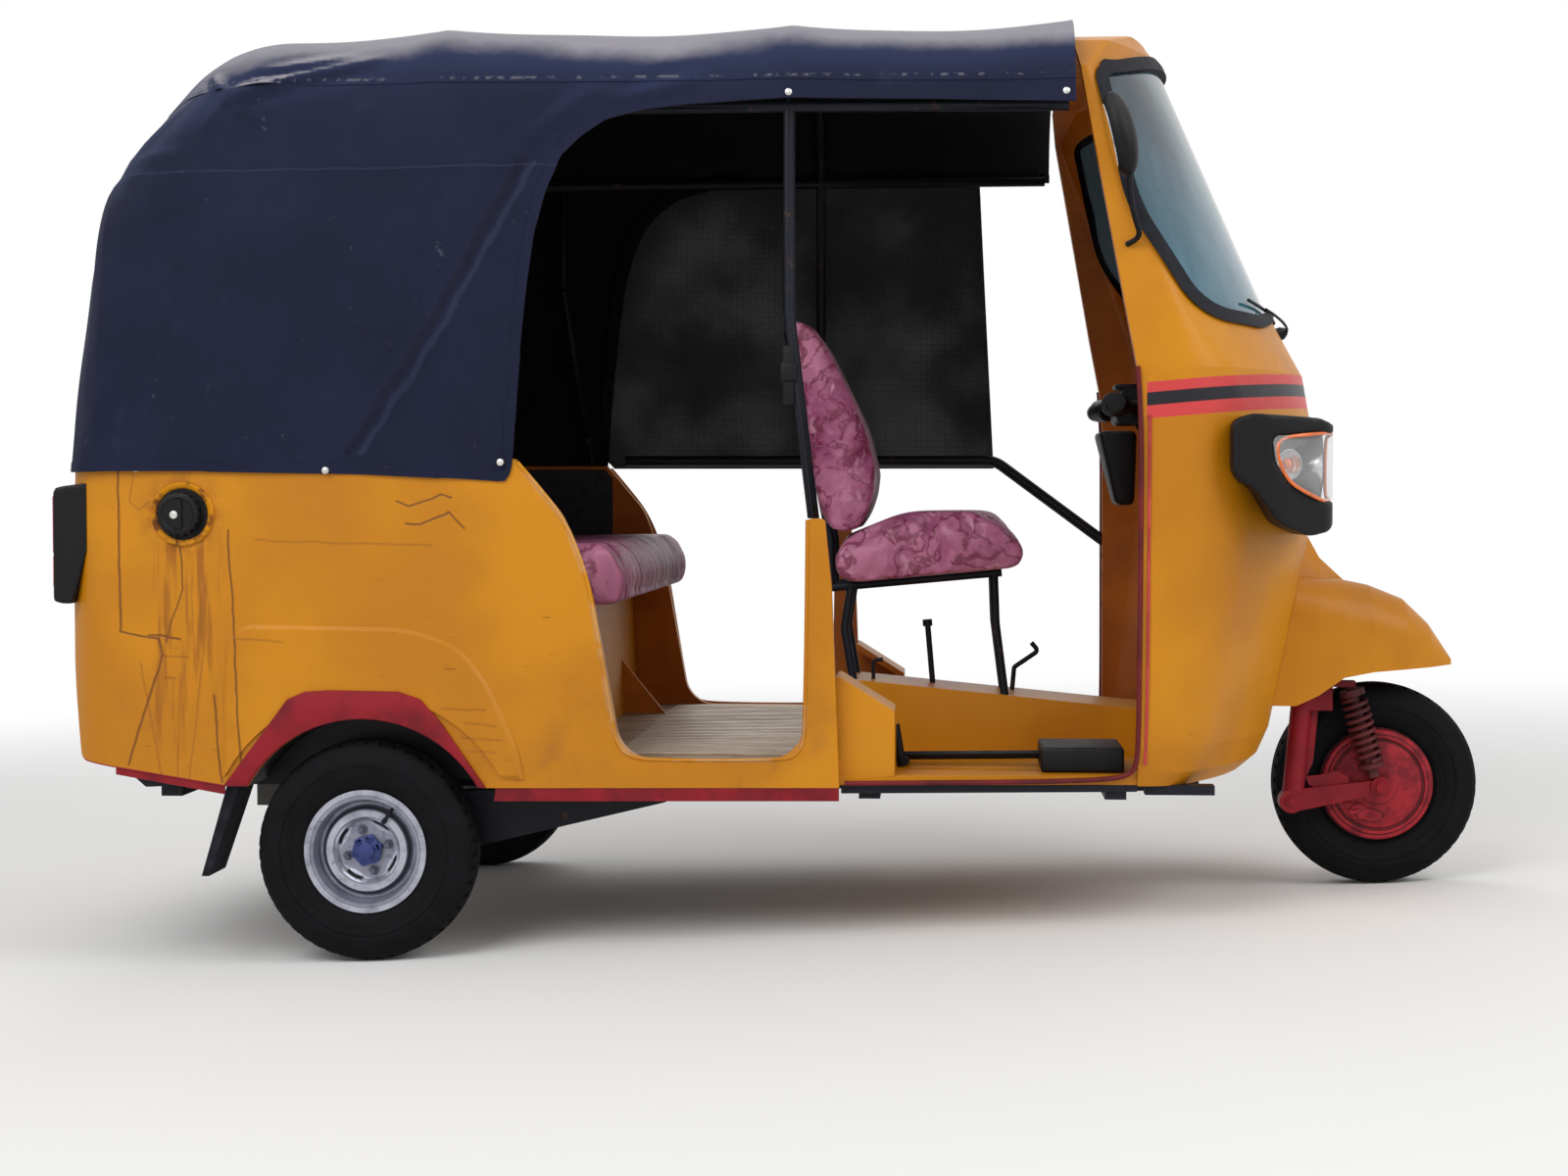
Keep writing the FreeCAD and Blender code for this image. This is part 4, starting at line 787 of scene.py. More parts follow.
def outsideHood(x, y, z):
    # distance outside the cloth, below zero within it
    p = hoodLook
    half = p["halfWidth"] - np.maximum(x - 0.3, 0) * (p["halfWidth"] - p["frontHalf"]) / (p["front"] - 0.3)
    drop = bayDrop(x)
    lean = (np.abs(y) - p["sideTop"] + (z - 1.38) * p["sideLean"]) * 0.983
    side = smoothMax(np.abs(y) - half, lean, 0.03) + drop * 0.35 * np.clip((z - 1.5) / 0.2, 0, 1)
    cross = z - p["crown"] + p["crownFall"] * np.sqrt(y * y + 0.0144) + drop
    rear = (z - 1.749 + drop) * 0.9962 - (x + 0.34) * 0.0867
    top = smoothMax(cross, rear, 0.05)
    lower = -0.993 * (x + 0.5745) + 0.1186 * (z - 0.87)
    upper = -0.909 * (x + 0.505) + 0.417 * (z - 1.452)
    corner = -0.664 * (x + 0.362) + 0.369 * (np.abs(y) - 0.3) + 0.65 * (z - 1.748)
    back = smoothMax(smoothMax(lower, upper, 0.06), corner - 0.003, 0.03)
    return smoothMax(smoothMax(side, top, p["shoulder"]), back, p["backCorner"])


def reachHood(start, aim, out=0.0):
    # where rays from inside meet the cloth
    aim = aim / np.linalg.norm(aim, axis=1)[:, None]
    near, far = np.zeros(len(start)), np.full(len(start), 1.2)
    for step in range(26):
        middle = (near + far) / 2
        within = outsideHood(*(start + aim * middle[:, None]).T) < out
        near, far = np.where(within, middle, near), np.where(within, far, middle)
    return start + aim * near[:, None], aim


def foldHeight(x, z):
    height = np.zeros_like(x)
    for (x0, z0), (x1, z1), tall, wide in hoodFolds:
        dx, dz = x1 - x0, z1 - z0
        along = np.clip(((x - x0) * dx + (z - z0) * dz) / (dx * dx + dz * dz), 0, 1)
        gap = np.hypot(x - x0 - along * dx, z - z0 - along * dz)
        fade = np.sin(np.pi * np.clip(along * 0.9 + 0.08, 0, 1)) ** 0.5
        ridge = np.exp(-(gap / wide) ** 2) - 0.4 * np.exp(-((gap - wide * 1.6) / wide) ** 2)
        height += hoodLook["foldGain"] * tall * fade * ridge
    return height


def softWaves(x, y, z):
    # slow unevenness of slack cloth
    wave = np.sin(x * 9.0 + z * 4.0 + 1.3) * np.sin(z * 7.0 - x * 3.0) * 0.0025
    wave += np.sin(x * 21.0 - z * 11.0) * np.sin(y * 6.0 + z * 17.0) * 0.0012
    return wave + np.sin(y * 13.0 + x * 5.0) * 0.0012


def clothPoints(start, aim, out=0.0):
    place, aim = reachHood(start, aim, out)
    x, y, z = place.T
    onSide = np.clip((np.abs(y) - 0.5) / 0.08, 0, 1)
    lift = foldHeight(x, z) * onSide + softWaves(x, y, z)
    return place + aim * lift[:, None]


def shapeGrid(name, places, columns, rows):
    # a grid primitive whose points are moved on to the cloth
    startFresh()
    bpy.ops.mesh.primitive_grid_add(x_subdivisions=columns - 1, y_subdivisions=rows - 1, size=1)
    piece = named(bpy.context.object, name)
    movePoints(piece, places)
    piece.data.update()
    return piece


def walk(points, pitch):
    # evenly spaced places along a line of points
    points = np.array(points, float)
    runs = np.hypot(*np.diff(points, axis=0).T)
    stations = np.concatenate([[0], np.cumsum(runs)])
    at = np.linspace(0, stations[-1], int(stations[-1] / pitch) + 1)
    return np.column_stack([np.interp(at, stations, points[:, i]) for i in range(2)])


def skirtPlan():
    # rays in plan round the skirt, from the right front to the left front: x, y, aim x, aim y, hem
    pitch = hoodLook["pitch"]
    hem = np.array(hoodHem[::-1])
    rear = hem[0, 1]
    rays = [(x, 0.0, 0.0, -1.0, z) for x, z in walk(hoodHem[:-3], pitch)]
    rays += [(x, 0.0, 0.0, -1.0, np.interp(x, *hem.T)) for x in np.arange(0.19, -0.35, -pitch)]
    rays += [(-0.35, -0.45, -math.sin(a), -math.cos(a), rear) for a in np.linspace(0, math.pi / 2, 14)]
    rays += [(-0.35, y, -1.0, 0.0, rear) for y in np.arange(-0.45 + pitch, 0.001, pitch)]
    right = np.array(rays)
    return np.vstack([right, right[::-1] * [1, -1, 1, -1, 1]])


def makeHood():
    p = hoodLook
    plan = skirtPlan()
    rows, count = 44, len(plan)
    top = p["seamHeight"] + 0.01
    z = top + np.linspace(0, 1, rows)[:, None] * (plan[:, 4][None, :] - top)
    start = np.stack([np.broadcast_to(plan[:, 0], z.shape), np.broadcast_to(plan[:, 1], z.shape), z], -1)
    aim = np.zeros_like(start)
    aim[:, :, 0], aim[:, :, 1] = plan[:, 2], plan[:, 3]
    skirt = shapeGrid("hoodSkirt", clothPoints(start.reshape(-1, 3), aim.reshape(-1, 3)), count, rows)

    xs = np.concatenate([np.arange(p["front"], -0.3, -p["pitch"]), np.linspace(-0.3, -0.422, 24)])
    sideRun = [(-0.66, z) for z in np.linspace(p["seamHeight"], 1.79, 14)]
    acrossRun = [(y, 1.8) for y in np.linspace(-0.65, 0.65, 92)]
    targets = np.array(sideRun + acrossRun + [(-y, z) for y, z in reversed(sideRun)])
    start = np.array([(x, 0.0, 1.5) for x in xs for t in targets])
    aim = np.array([(0.0, y, z - 1.5) for x in xs for y, z in targets])
    roof = shapeGrid("hoodRoof", clothPoints(start, aim, 0.0012), len(targets), len(xs))
    hood = joinPieces("hoodClothSkin", [skirt, roof])
    bpy.ops.object.mode_set(mode="EDIT")
    closeMesh(0.0002)
    shape(hood, "SOLIDIFY", thickness=p["thickness"], offset=-1.0)
    line = np.array(hoodHem)
    starts, runs = line[:-1], np.diff(line, axis=0)

    def onHem(centre, normal):
        spot = np.array((centre.x, centre.z))
        along = np.clip(((spot - starts) * runs).sum(1) / (runs * runs).sum(1), 0, 1)
        gap = np.hypot(*(starts + runs * along[:, None] - spot).T).min()
        outward = normal.y * centre.y + normal.x * min(centre.x + 0.3, 0)
        return gap < p["hemWidth"] and outward > 0

    raiseFaces(hood, onHem, p["tape"])
    return hood


bowLook = {"gap": 0.005, "from": 1.1, "reach": 0.079, "fade": 0.05}


def tuckBows():
    # the tubes of the frame, drawn in under the cloth where they would stand out of it
    p = bowLook
    piece = takeNode("bows", "tube_frame")
    places = pointsOf(piece)
    out = outsideHood(*places.T) + p["gap"]
    high = np.flatnonzero(places[:, 2] > p["from"])
    proud = high[out[high] > 0]
    tree = KDTree(len(proud))
    for i in proud:
        tree.insert(places[i], i)
    tree.balance()
    move = []
    for k in high:
        near = tree.find_range(places[k], p["reach"])
        move.append(max([out[i] * min(1.6 - gap / p["fade"], 1) for spot, i, gap in near], default=0))
    slope = np.stack([outsideHood(*(places[high] + step).T) - outsideHood(*(places[high] - step).T)
                      for step in np.eye(3) * 0.004], -1)
    slope /= np.linalg.norm(slope, axis=1)[:, None] + 1e-9
    places[high] -= slope * np.array(move)[:, None]
    movePoints(piece, places)
    finishPiece(piece, framePaint, replaces=["tube_frame"], crease=30)


tuckBows()
hoodPiece = finishPiece(makeHood(), hoodCloth, replaces=["hood"], crease=60)
print("hood", len(hoodPiece.data.polygons), "faces")


# Side curtain: a mesh sheet behind the valance on the left, taped along its foot and front edge

curtainLook = {
    "rear": [(0.934, 0.302), (0.965, 0.272), (1.156, 0.274), (1.355, 0.298), (1.499, 0.342), (1.566, 0.41),
             (1.608, 0.46)],
    "frontFoot": 1.192, "frontTop": 1.157, "foot": 0.934, "top": 1.608, "outFoot": 0.6368, "outTop": 0.6155,
    "bendFrom": 1.34, "thickness": 0.0012, "tape": 0.016, "flat": (0.94, 0.68), "area": 0.6,
}


def makeCurtain():
    p = curtainLook
    tall, run = p["top"] - p["foot"], p["frontTop"] - p["frontFoot"]
    rows, columns = 64, 84
    share = np.linspace(0, 1, rows)[:, None]
    along = np.linspace(0, 1, columns)[None, :]
    z = p["foot"] + tall * share + 0 * along
    rear = np.interp(z, [a for a, b in p["rear"]], [b for a, b in p["rear"]])
    x = rear + (p["frontFoot"] + run * share - rear) * along
    bend = np.clip((z - p["bendFrom"]) / (p["top"] - p["bendFrom"]), 0, 1)
    free = np.sin(np.pi * share) * np.sin(np.pi * np.clip(along * 1.1, 0, 1))
    waves = np.sin(x * 17 - z * 9) * 0.0022 + np.sin(x * 41 + 2 * np.sin(z * 6)) * 0.0012
    y = p["outFoot"] + (p["outTop"] - p["outFoot"]) * bend ** 1.3 + waves * free
    piece = shapeGrid("curtainCloth", np.stack([x, y, z], -1), columns, rows)
    shape(piece, "SOLIDIFY", thickness=p["thickness"], offset=0.0)

    def onTape(centre, normal):
        edge = p["frontFoot"] + run * (centre.z - p["foot"]) / tall
        onEdge = centre.x > edge - p["tape"] or centre.z < p["foot"] + p["tape"] * 1.5
        return abs(normal.y) > 0.5 and onEdge

    raiseFaces(piece, onTape, 0.0009)
    return piece


curtain = finishPiece(makeCurtain(), curtainMesh, replaces=["side_curtain"])
print("curtain made")


# Seats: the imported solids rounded, puffed up as cloth

padLook = {"pressure": 4.0, "moments": 20, "quality": 4, "mass": 0.3, "stretch": 15, "bending": 0.6}
seatLook = {
    "driverCushionPad": {"node": "driver_cushion", "voxel": 0.006, "rounds": 26, "slack": 0.035, "cap": 0.016,
                         "fill": 0.8},
    "driverBackPad": {"node": "driver_backrest", "voxel": 0.006, "rounds": 22, "slack": 0.035, "cap": 0.014,
                      "fill": 0.8},
    "benchPad": {"node": "bench", "voxel": 0.008, "rounds": 9, "slack": 0.03, "cap": 0.012, "fill": 0.7},
    "benchBackPad": {"node": "bench_back", "voxel": 0.008, "rounds": 9, "slack": 0.03, "cap": 0.01,
                     "fill": 0.7},
}


def puffUp(seat, rest, low, look):
    # a cloth simulation with its foot held, kept to the cap
    held = seat.vertex_groups.new(name="held")
    bottom = [v.index for v in seat.data.vertices if v.normal.z < -0.8 and v.co.z < low + 0.05]
    held.add(bottom, 1.0, "REPLACE")
    puff = seat.modifiers.new("Puff", "CLOTH")
    cloth = puff.settings
    cloth.quality = padLook["quality"]
    cloth.mass = padLook["mass"]
    cloth.tension_stiffness = padLook["stretch"]
    cloth.compression_stiffness = padLook["stretch"]
    cloth.bending_stiffness = padLook["bending"]
    cloth.use_pressure = True
    cloth.uniform_pressure_force = padLook["pressure"]
    cloth.shrink_min = -look["slack"]
    cloth.vertex_group_mass = "held"
    cloth.effector_weights.gravity = 0
    puff.collision_settings.use_collision = False
    puff.point_cache.frame_start = 1
    puff.point_cache.frame_end = padLook["moments"]
    for moment in range(1, padLook["moments"] + 1):
        bpy.context.scene.frame_set(moment)
    makeActive(seat)
    bpy.ops.object.modifier_apply(modifier=puff.name)
    bpy.context.scene.frame_set(1)
    moved = pointsOf(seat) - rest
    far = np.linalg.norm(moved, axis=1)[:, None]
    places = rest + moved * np.minimum(1.0, look["cap"] / np.maximum(far, 1e-9))
    places[:, 2] = np.maximum(places[:, 2], low)
    movePoints(seat, places)
    seat.vertex_groups.clear()


def gatherFront(seat):
    # the bench's cover is drawn in below the front edge, in close upright gathers
    places = pointsOf(seat)
    x, y, z = places.T
    front = np.clip((x - 0.435) / 0.03, 0, 1) * np.clip((0.765 - z) / 0.05, 0, 1)
    x += front * (np.sin(y * 230 + np.sin(y * 31) * 2.0) * 0.0013 + np.sin(y * 97) * 0.001)
    movePoints(seat, places)


def makeSeats():
    for name, look in seatLook.items():
        seat = roundCopy(name, look["node"], look["voxel"], 1)
        shape(seat, "SMOOTH", factor=0.5, iterations=look["rounds"])
        rest = pointsOf(seat)
        puffUp(seat, rest, rest[:, 2].min(), look)
        shape(seat, "SUBSURF", levels=1)
        if name == "benchPad":
            gatherFront(seat)
        finishPiece(seat, seatVinyl, replaces=[look["node"]], crease=60)
        print(name, len(seat.data.polygons), "faces")


makeSeats()


# Tyres: ribbed tread with cross cuts on the shoulders

tyreLook = {"cuts": 48, "cutDepth": 0.003, "cutFrom": 0.022, "cutTo": 0.041, "cutFoot": 0.198, "steps": 144}
wheels = {
    "front": {"centre": (1.965, 0, 0.2805), "body": "front_wheel", "tyre": "front_tyre"},
    "rearRight": {"centre": (0, -0.6, 0.2075), "body": "rear_wheel_right", "tyre": "rear_tyre_right"},
    "rearLeft": {"centre": (0, 0.6, 0.2075), "body": "rear_wheel_left", "tyre": "rear_tyre_left"},
}
# half section of the tyre: out from the middle, radius
tyreSection = [
    (0.0035, 0.2025), (0.0035, 0.2072), (0.0155, 0.2068), (0.0155, 0.202), (0.0205, 0.2018),
    (0.0205, 0.2062), (0.032, 0.2042), (0.041, 0.2006), (0.0475, 0.1935), (0.05, 0.186), (0.052, 0.179),
    (0.0537, 0.1725), (0.0548, 0.168), (0.0551, 0.164), (0.0545, 0.1605), (0.0532, 0.16),
    (0.053, 0.158), (0.054, 0.1565), (0.0528, 0.15), (0.051, 0.143), (0.0508, 0.141),
    (0.0495, 0.1405), (0.048, 0.134), (0.0455, 0.126), (0.0435, 0.121), (0.04, 0.117),
    (0.038, 0.11), (0.038, 0.1045),
]


def makeTyres():
    p = tyreLook
    profile = [(-y, r) for y, r in reversed(tyreSection)] + tyreSection
    mould = spinProfile("tyre", (0, 0, 0), profile + [profile[0]], p["steps"])
    pitch = 360 / p["cuts"]

    def onCut(centre, normal):
        turn = math.degrees(math.atan2(centre.x, centre.z)) % pitch
        onShoulder = p["cutFrom"] < abs(centre.y) < p["cutTo"]
        return onShoulder and math.hypot(centre.x, centre.z) > p["cutFoot"] and turn < pitch / 3

    raiseFaces(mould, onCut, -p["cutDepth"])
    for name, wheel in wheels.items():
        tyre = copyPiece(mould, name + "TyreRubber", Matrix.Translation(wheel["centre"]))
        finishPiece(tyre, tyreRubber, wheel["body"], [wheel["tyre"]], 30)
    bpy.data.objects.remove(mould)


makeTyres()
print("tyres made")


# Rear wheels: star-shaped dish, lobed cap and valve

rimLook = {"lobes": 4, "inner": 0.027, "outer": 0.0645, "floor": 0.0135, "rise": 0.0265, "capFoot": 0.014,
           "capFace": 0.0325, "valveTurn": 58}
rearWheels = (("rearRight", -1, 16.0), ("rearLeft", 1, 52.0))  # wheel, side, turn of its star


def makeStar(name, side, turn):
    # a disc whose floor runs out in a lobe under each nut and rises between them
    p = rimLook
    star = spinProfile(name, (0, 0, 0), [(0.0, r) for r in np.linspace(p["inner"], p["outer"], 16)], 96)
    x, y, z = pointsOf(star).T
    around = np.arctan2(z, x) - math.radians(turn)
    edge = 0.0455 + 0.0125 * (np.cos(around * p["lobes"]) * 0.5 + 0.5) ** 0.8
    lift = np.clip((np.hypot(x, z) - edge) / (0.0635 - edge), 0, 1)
    y = (p["floor"] + (p["rise"] - p["floor"]) * lift * lift * (3 - 2 * lift)) * side
    movePoints(star, np.stack([x, y, z], -1))
    return shape(star, "SOLIDIFY", thickness=0.0012, offset=0.0)


def makeStarPaint(name, centre, turn):
    look = Finish(name, centre)
    r = look.reach()
    around = look.z.maths("ARCTAN2", look.z, look.x) - math.radians(turn)
    lobes = (around * 4.0).cosine()
    # painted shade: black in the slots between the lobes, and darker on the dish's floor
    slot = r.within(0.0515, 0.0575, 0.0008) * lobes.fall(-0.55, -0.1)
    grime = look.place.noise(60.0, 4.0, 0.6).rise(0.5, 0.7)
    dish = (r - (lobes * 0.00625 + 0.05175)).fall(-0.0025, 0.0015)
    tone = coats(grime.colour(paint(196, 198, 212), paint(124, 126, 142)),
                 (dish * 0.6, paint(84, 86, 106)), (slot, paint(18, 18, 22)))
    look.set(Base_Color=tone, Roughness=0.36 + grime * 0.2, Metallic=0.45 - slot * 0.45)
    return look.material


def makeCap(name, side):
    foot, face = rimLook["capFoot"] * side, rimLook["capFace"] * side
    parts = [startRod(name, (0, foot, 0), (0, face, 0), 0.0265, 40),
             startRod("capTop", (0, face, 0), (0, face + 0.004 * side, 0), 0.015, 40)]
    for i in range(6):
        a = math.radians(60 * i + 15)
        x, z = 0.0215 * math.cos(a), 0.0215 * math.sin(a)
        parts.append(startRod("capLobe", (x, foot, z), (x, face, z), 0.0085, 20))
    return soften(joinPieces(name, parts), 0.0012)


def makeValve(name, side):
    a = math.radians(rimLook["valveTurn"])
    foot = Vector((0.1 * math.cos(a), 0.026 * side, 0.1 * math.sin(a)))
    head = Vector((0.071 * math.cos(a), 0.038 * side, 0.071 * math.sin(a)))
    tip = head + (head - foot).normalized() * 0.009
    parts = [startRod("stem", foot, head, 0.0032, 16), startRod("stemCap", head, tip, 0.0045, 16)]
    return joinPieces(name, parts)


def makeWheelDetails():
    for key, side, turn in rearWheels:
        centre, body = wheels[key]["centre"], wheels[key]["body"]
        starPaint = makeStarPaint(key + "Star", centre, turn)
        for piece, material, crease in ((makeStar(key + "StarDish", side, turn), starPaint, 30),
                                        (makeCap(key + "Cap", side), capBlue, 35),
                                        (makeValve(key + "Valve", side), rubberTrim, 35)):
            piece.data.transform(Matrix.Translation(centre))
            finishPiece(piece, material, body, crease=crease)


makeWheelDetails()
print("wheels dressed")


# Front suspension: coil over its damper, and the brake plate's rings and casting

axle = Vector((1.965, 0, 0.2805))
springLook = {"foot": (1.958, -0.091, 0.2805), "top": (1.904, -0.091, 0.4837), "turns": 9, "radius": 0.0235,
              "wire": 0.0046, "seat": 0.049, "cup": 0.019}


def makeSpring():
    p = springLook
    foot, top = Vector(p["foot"]), Vector(p["top"])
    aim, length = (top - foot).normalized(), (top - foot).length
    damper = spinAlong("damper", foot, aim, [
        (0.019, 0.0), (0.019, 0.012), (0.04, 0.0125), (0.04, 0.0255), (p["seat"], 0.0262), (0.052, 0.015),
        (0.11, 0.015), (0.113, 0.0105), (length - 0.022, 0.0105), (length - p["cup"], 0.0262),
        (length - 0.006, 0.0255), (length - 0.006, 0.01), (length, 0.0098), (length, 0.0)])
    startFresh()
    bpy.ops.mesh.primitive_circle_add(vertices=12, radius=p["wire"], location=(p["radius"], 0, 0),
                                      rotation=(math.pi / 2, 0, 0))
    coil = applied("coil")
    steps = 24 * p["turns"]
    shape(coil, "SCREW", angle=2 * math.pi * p["turns"], iterations=1, use_smooth_shade=True,
          screw_offset=length - p["cup"] - p["seat"] - p["wire"] * 2, steps=steps, render_steps=steps)
    turn = aim.to_track_quat("Z", "Y").to_matrix().to_4x4()
    coil.data.transform(Matrix.Translation(foot + aim * (p["seat"] + p["wire"])) @ turn)
    spring = joinPieces("springDamper", [damper, coil])
    openMesh(spring)
    closeMesh()
    return spring


def makeBrakePlate():
    # outboard y, radius
    rings = [
        (-0.052, 0.0103), (-0.052, 0.112), (-0.0575, 0.1128), (-0.0605, 0.1105), (-0.0605, 0.1035),
        (-0.0632, 0.1015), (-0.0632, 0.0955), (-0.0602, 0.094), (-0.0602, 0.0895), (-0.0632, 0.088),
        (-0.0636, 0.042), (-0.066, 0.04), (-0.066, 0.0103), (-0.052, 0.0103),
    ]
    parts = [spinProfile("brakePlateRings", axle, rings)]
    castings = ((-0.016, -0.062, 0.026, 0.012, 0.0045), (-0.052, -0.045, 0.018, 0.009, 0.003))
    for dx, dz, wide, high, tall in castings:
        boss = startRod("casting", (0, -0.0625, 0), (0, -0.0635 - tall, 0), 1.0, 32)
        boss.data.transform(Matrix.Translation(axle + Vector((dx, 0, dz))) @ Matrix.Rotation(0.35, 4, "Y")
                            @ Matrix.Diagonal((wide, 1, high, 1)))
        parts.append(boss)
    parts += [startRod("camBoss", (1.925, -0.06, 0.2255), (1.925, -0.0705, 0.2255), 0.0165, 28),
              startRod("camPin", (1.925, -0.07, 0.2255), (1.925, -0.078, 0.2255), 0.006, 16),
              soften(startBlock("camLever", (1.905, -0.0775, 0.2215), (1.932, -0.0735, 0.2295)), 0.001)]
    return soften(joinPieces("brakePlateRings", parts), 0.0008, angle=30)


def makeLinkTrims():
    # rings of the axle nut, the pivot's bolt and the torque web
    nut = spinProfile("axleNut", axle, [
        (-0.103, 0.0), (-0.103, 0.0205), (-0.106, 0.02), (-0.106, 0.016), (-0.1085, 0.0155),
        (-0.1085, 0.0115), (-0.115, 0.011), (-0.115, 0.0)], 36)
    bolt = spinProfile("pivotBolt", (1.785, 0, 0.25), [
        (-0.1065, 0.0), (-0.1065, 0.0135), (-0.1095, 0.013), (-0.1095, 0.008), (-0.115, 0.0078),
        (-0.115, 0.0)], 36)
    web = [(1.815, 0.3), (1.822, 0.282), (1.842, 0.274), (1.905, 0.288), (1.9, 0.3), (1.876, 0.312),
           (1.845, 0.303)]
    web = cutPlate("torqueWeb", [(x, -0.09, z) for x, z in web], (0, 0.004, 0))
    return joinPieces("linkTrims", [nut, bolt, web])


def makePlatePaint():
    # red, with painted shade in the grooves of the casting and round its oval boss
    look = Finish("platePaint", axle)
    r = look.reach()
    blotch = look.place.noise(22.0, 5.0, 0.65).rise(0.4, 0.64)
    groove = r.within(0.0885, 0.095, 0.0012).either(r.within(0.1015, 0.1042, 0.0008))
    groove = groove.either(r.within(0.0385, 0.041, 0.001) * 0.7)
    offX, offZ = look.x + 0.016, look.z + 0.062
    oval = (offX * offX + offZ * offZ * 4.4).root().within(0.0265, 0.03, 0.0012)
    tone = coats(blotch.colour(paint(158, 34, 44), paint(112, 22, 32)),
                 (groove.either(oval) * 0.75, paint(52, 14, 20)))
    look.set(Base_Color=tone, Roughness=0.52 + blotch * 0.1, Specular_IOR_Level=0.25)
    look.bump(look.place.noise(120.0, 3.0) - groove, 0.0008, 0.6)
    return look.material


springPaint = makeRedPaint("springPaint", (92, 34, 36), (48, 20, 24), 0.55)
finishPiece(makeSpring(), springPaint, "steering", ["spring_damper"], 50)
finishPiece(makeBrakePlate(), makePlatePaint(), "steering", ["brake_plate"], 30)
finishPiece(makeLinkTrims(), redPaint, "steering")
print("front suspension dressed")


# Red bands along the sill, and beads round the cab's door edges

bandLook = {"foot": 0.305, "head": 0.331, "rear": 0.249, "front": 0.885, "rearOut": -0.653,
            "frontOut": -0.611, "thickness": 0.003}
# rear edge of the cab: height, x and half width
doorEdge = [(1.11, 1.4325, 0.6025), (1.02, 1.4405, 0.6005), (0.78, 1.4405, 0.5945),
            (0.56, 1.4405, 0.5795), (0.44, 1.44, 0.57), (0.372, 1.438, 0.562)]
# outer edge of the red band round the wheel arch: x, z
archBand = [(-0.263, 0.3305), (-0.14, 0.494), (-0.108, 0.508), (-0.06, 0.511), (0.068, 0.509),
            (0.11, 0.495), (0.148, 0.452), (0.232, 0.3305)]


def makeBands():
    p = bandLook
    push, out = (0, p["thickness"], 0), p["rearOut"]
    sill = [(p["rear"], out, p["head"]), (p["front"], p["frontOut"], p["head"]),
            (p["front"], p["frontOut"], p["foot"]), (p["rear"] - 0.004, out, p["foot"])]
    tail = [(-0.262, out, 0.332), (-0.47, out, 0.3655), (-0.47, out, 0.35), (-0.262, out, 0.314)]
    bands = joinPieces("redBands", [cutPlate("sillBand", sill, push), cutPlate("tailBand", tail, push)])
    finishPair(soften(bands, 0.0006, 1), redPaint)
    rail = [(0.888, -0.59, 0.332), (1.44, -0.546, 0.332), (1.44, -0.546, 0.319),
            (0.888, -0.59, 0.317)]
    rail = cutPlate("floorEdge", rail, (0, 0.004, 0))
    bracket = startBlock("cabBracket", (1.455, -0.535, 0.312), (1.585, -0.5, 0.3305))
    finishPair(soften(joinPieces("floorEdge", [rail, bracket]), 0.0008, 1), framePaint)


def makeArchBands():
    turns = [math.radians(29.5 + 121.0 * i / 24) for i in range(25)]
    outline = archBand + [(0.25 * math.cos(a), 0.2075 + 0.25 * math.sin(a)) for a in turns]
    band = cutPlate("archBand", [(x, -0.667, z) for x, z in outline], (0, 0.0125, 0))
    soften(band, 0.003, 3, 40)
    band = joinPieces("archBands", [band, mirrorPiece(band, "Left")])
    finishPiece(band, redPaint, replaces=["arch_flares"], crease=30)


def makeBeads():
    foot = [(1.425, -0.556, 0.352), (1.39, -0.556, 0.344), (1.3, -0.566, 0.34), (1.1, -0.582, 0.338),
            (0.895, -0.598, 0.337)]
    bead = bendTube("doorBead", [(x, -y - 0.001, z) for z, x, y in doorEdge] + foot, 0.0048, 4)
    lip = bendTube("doorLip", [(x + 0.015, -y + 0.0005, z) for z, x, y in doorEdge[1:]], 0.003)
    finishPair(bead, makeRedPaint("beadDark", (112, 26, 32), (84, 20, 24), 0.45))
    finishPair(lip, makeRedPaint("beadBright", (196, 74, 72), (160, 52, 52)))


makeBands()
makeArchBands()
makeBeads()
print("bands and beads made")


# Headlamps: bowls and bulbs behind the lens, and the amber trim round it

lampLook = {"bowl": (1.722, -0.462, 0.926), "turnBowl": (1.7, -0.572, 0.93), "turnAim": (0.5, -0.85, 0)}
# line of the amber trim round the lens
amberLine = [
    (1.684, -0.616, 0.977), (1.745, -0.59, 0.985), (1.79, -0.541, 0.988), (1.806, -0.47, 0.988),
    (1.8105, -0.4, 0.986), (1.8115, -0.345, 0.982), (1.8115, -0.343, 0.87), (1.806, -0.43, 0.866),
    (1.797, -0.5, 0.864), (1.778, -0.56, 0.862), (1.742, -0.592, 0.878), (1.71, -0.608, 0.896),
    (1.688, -0.617, 0.932),
]


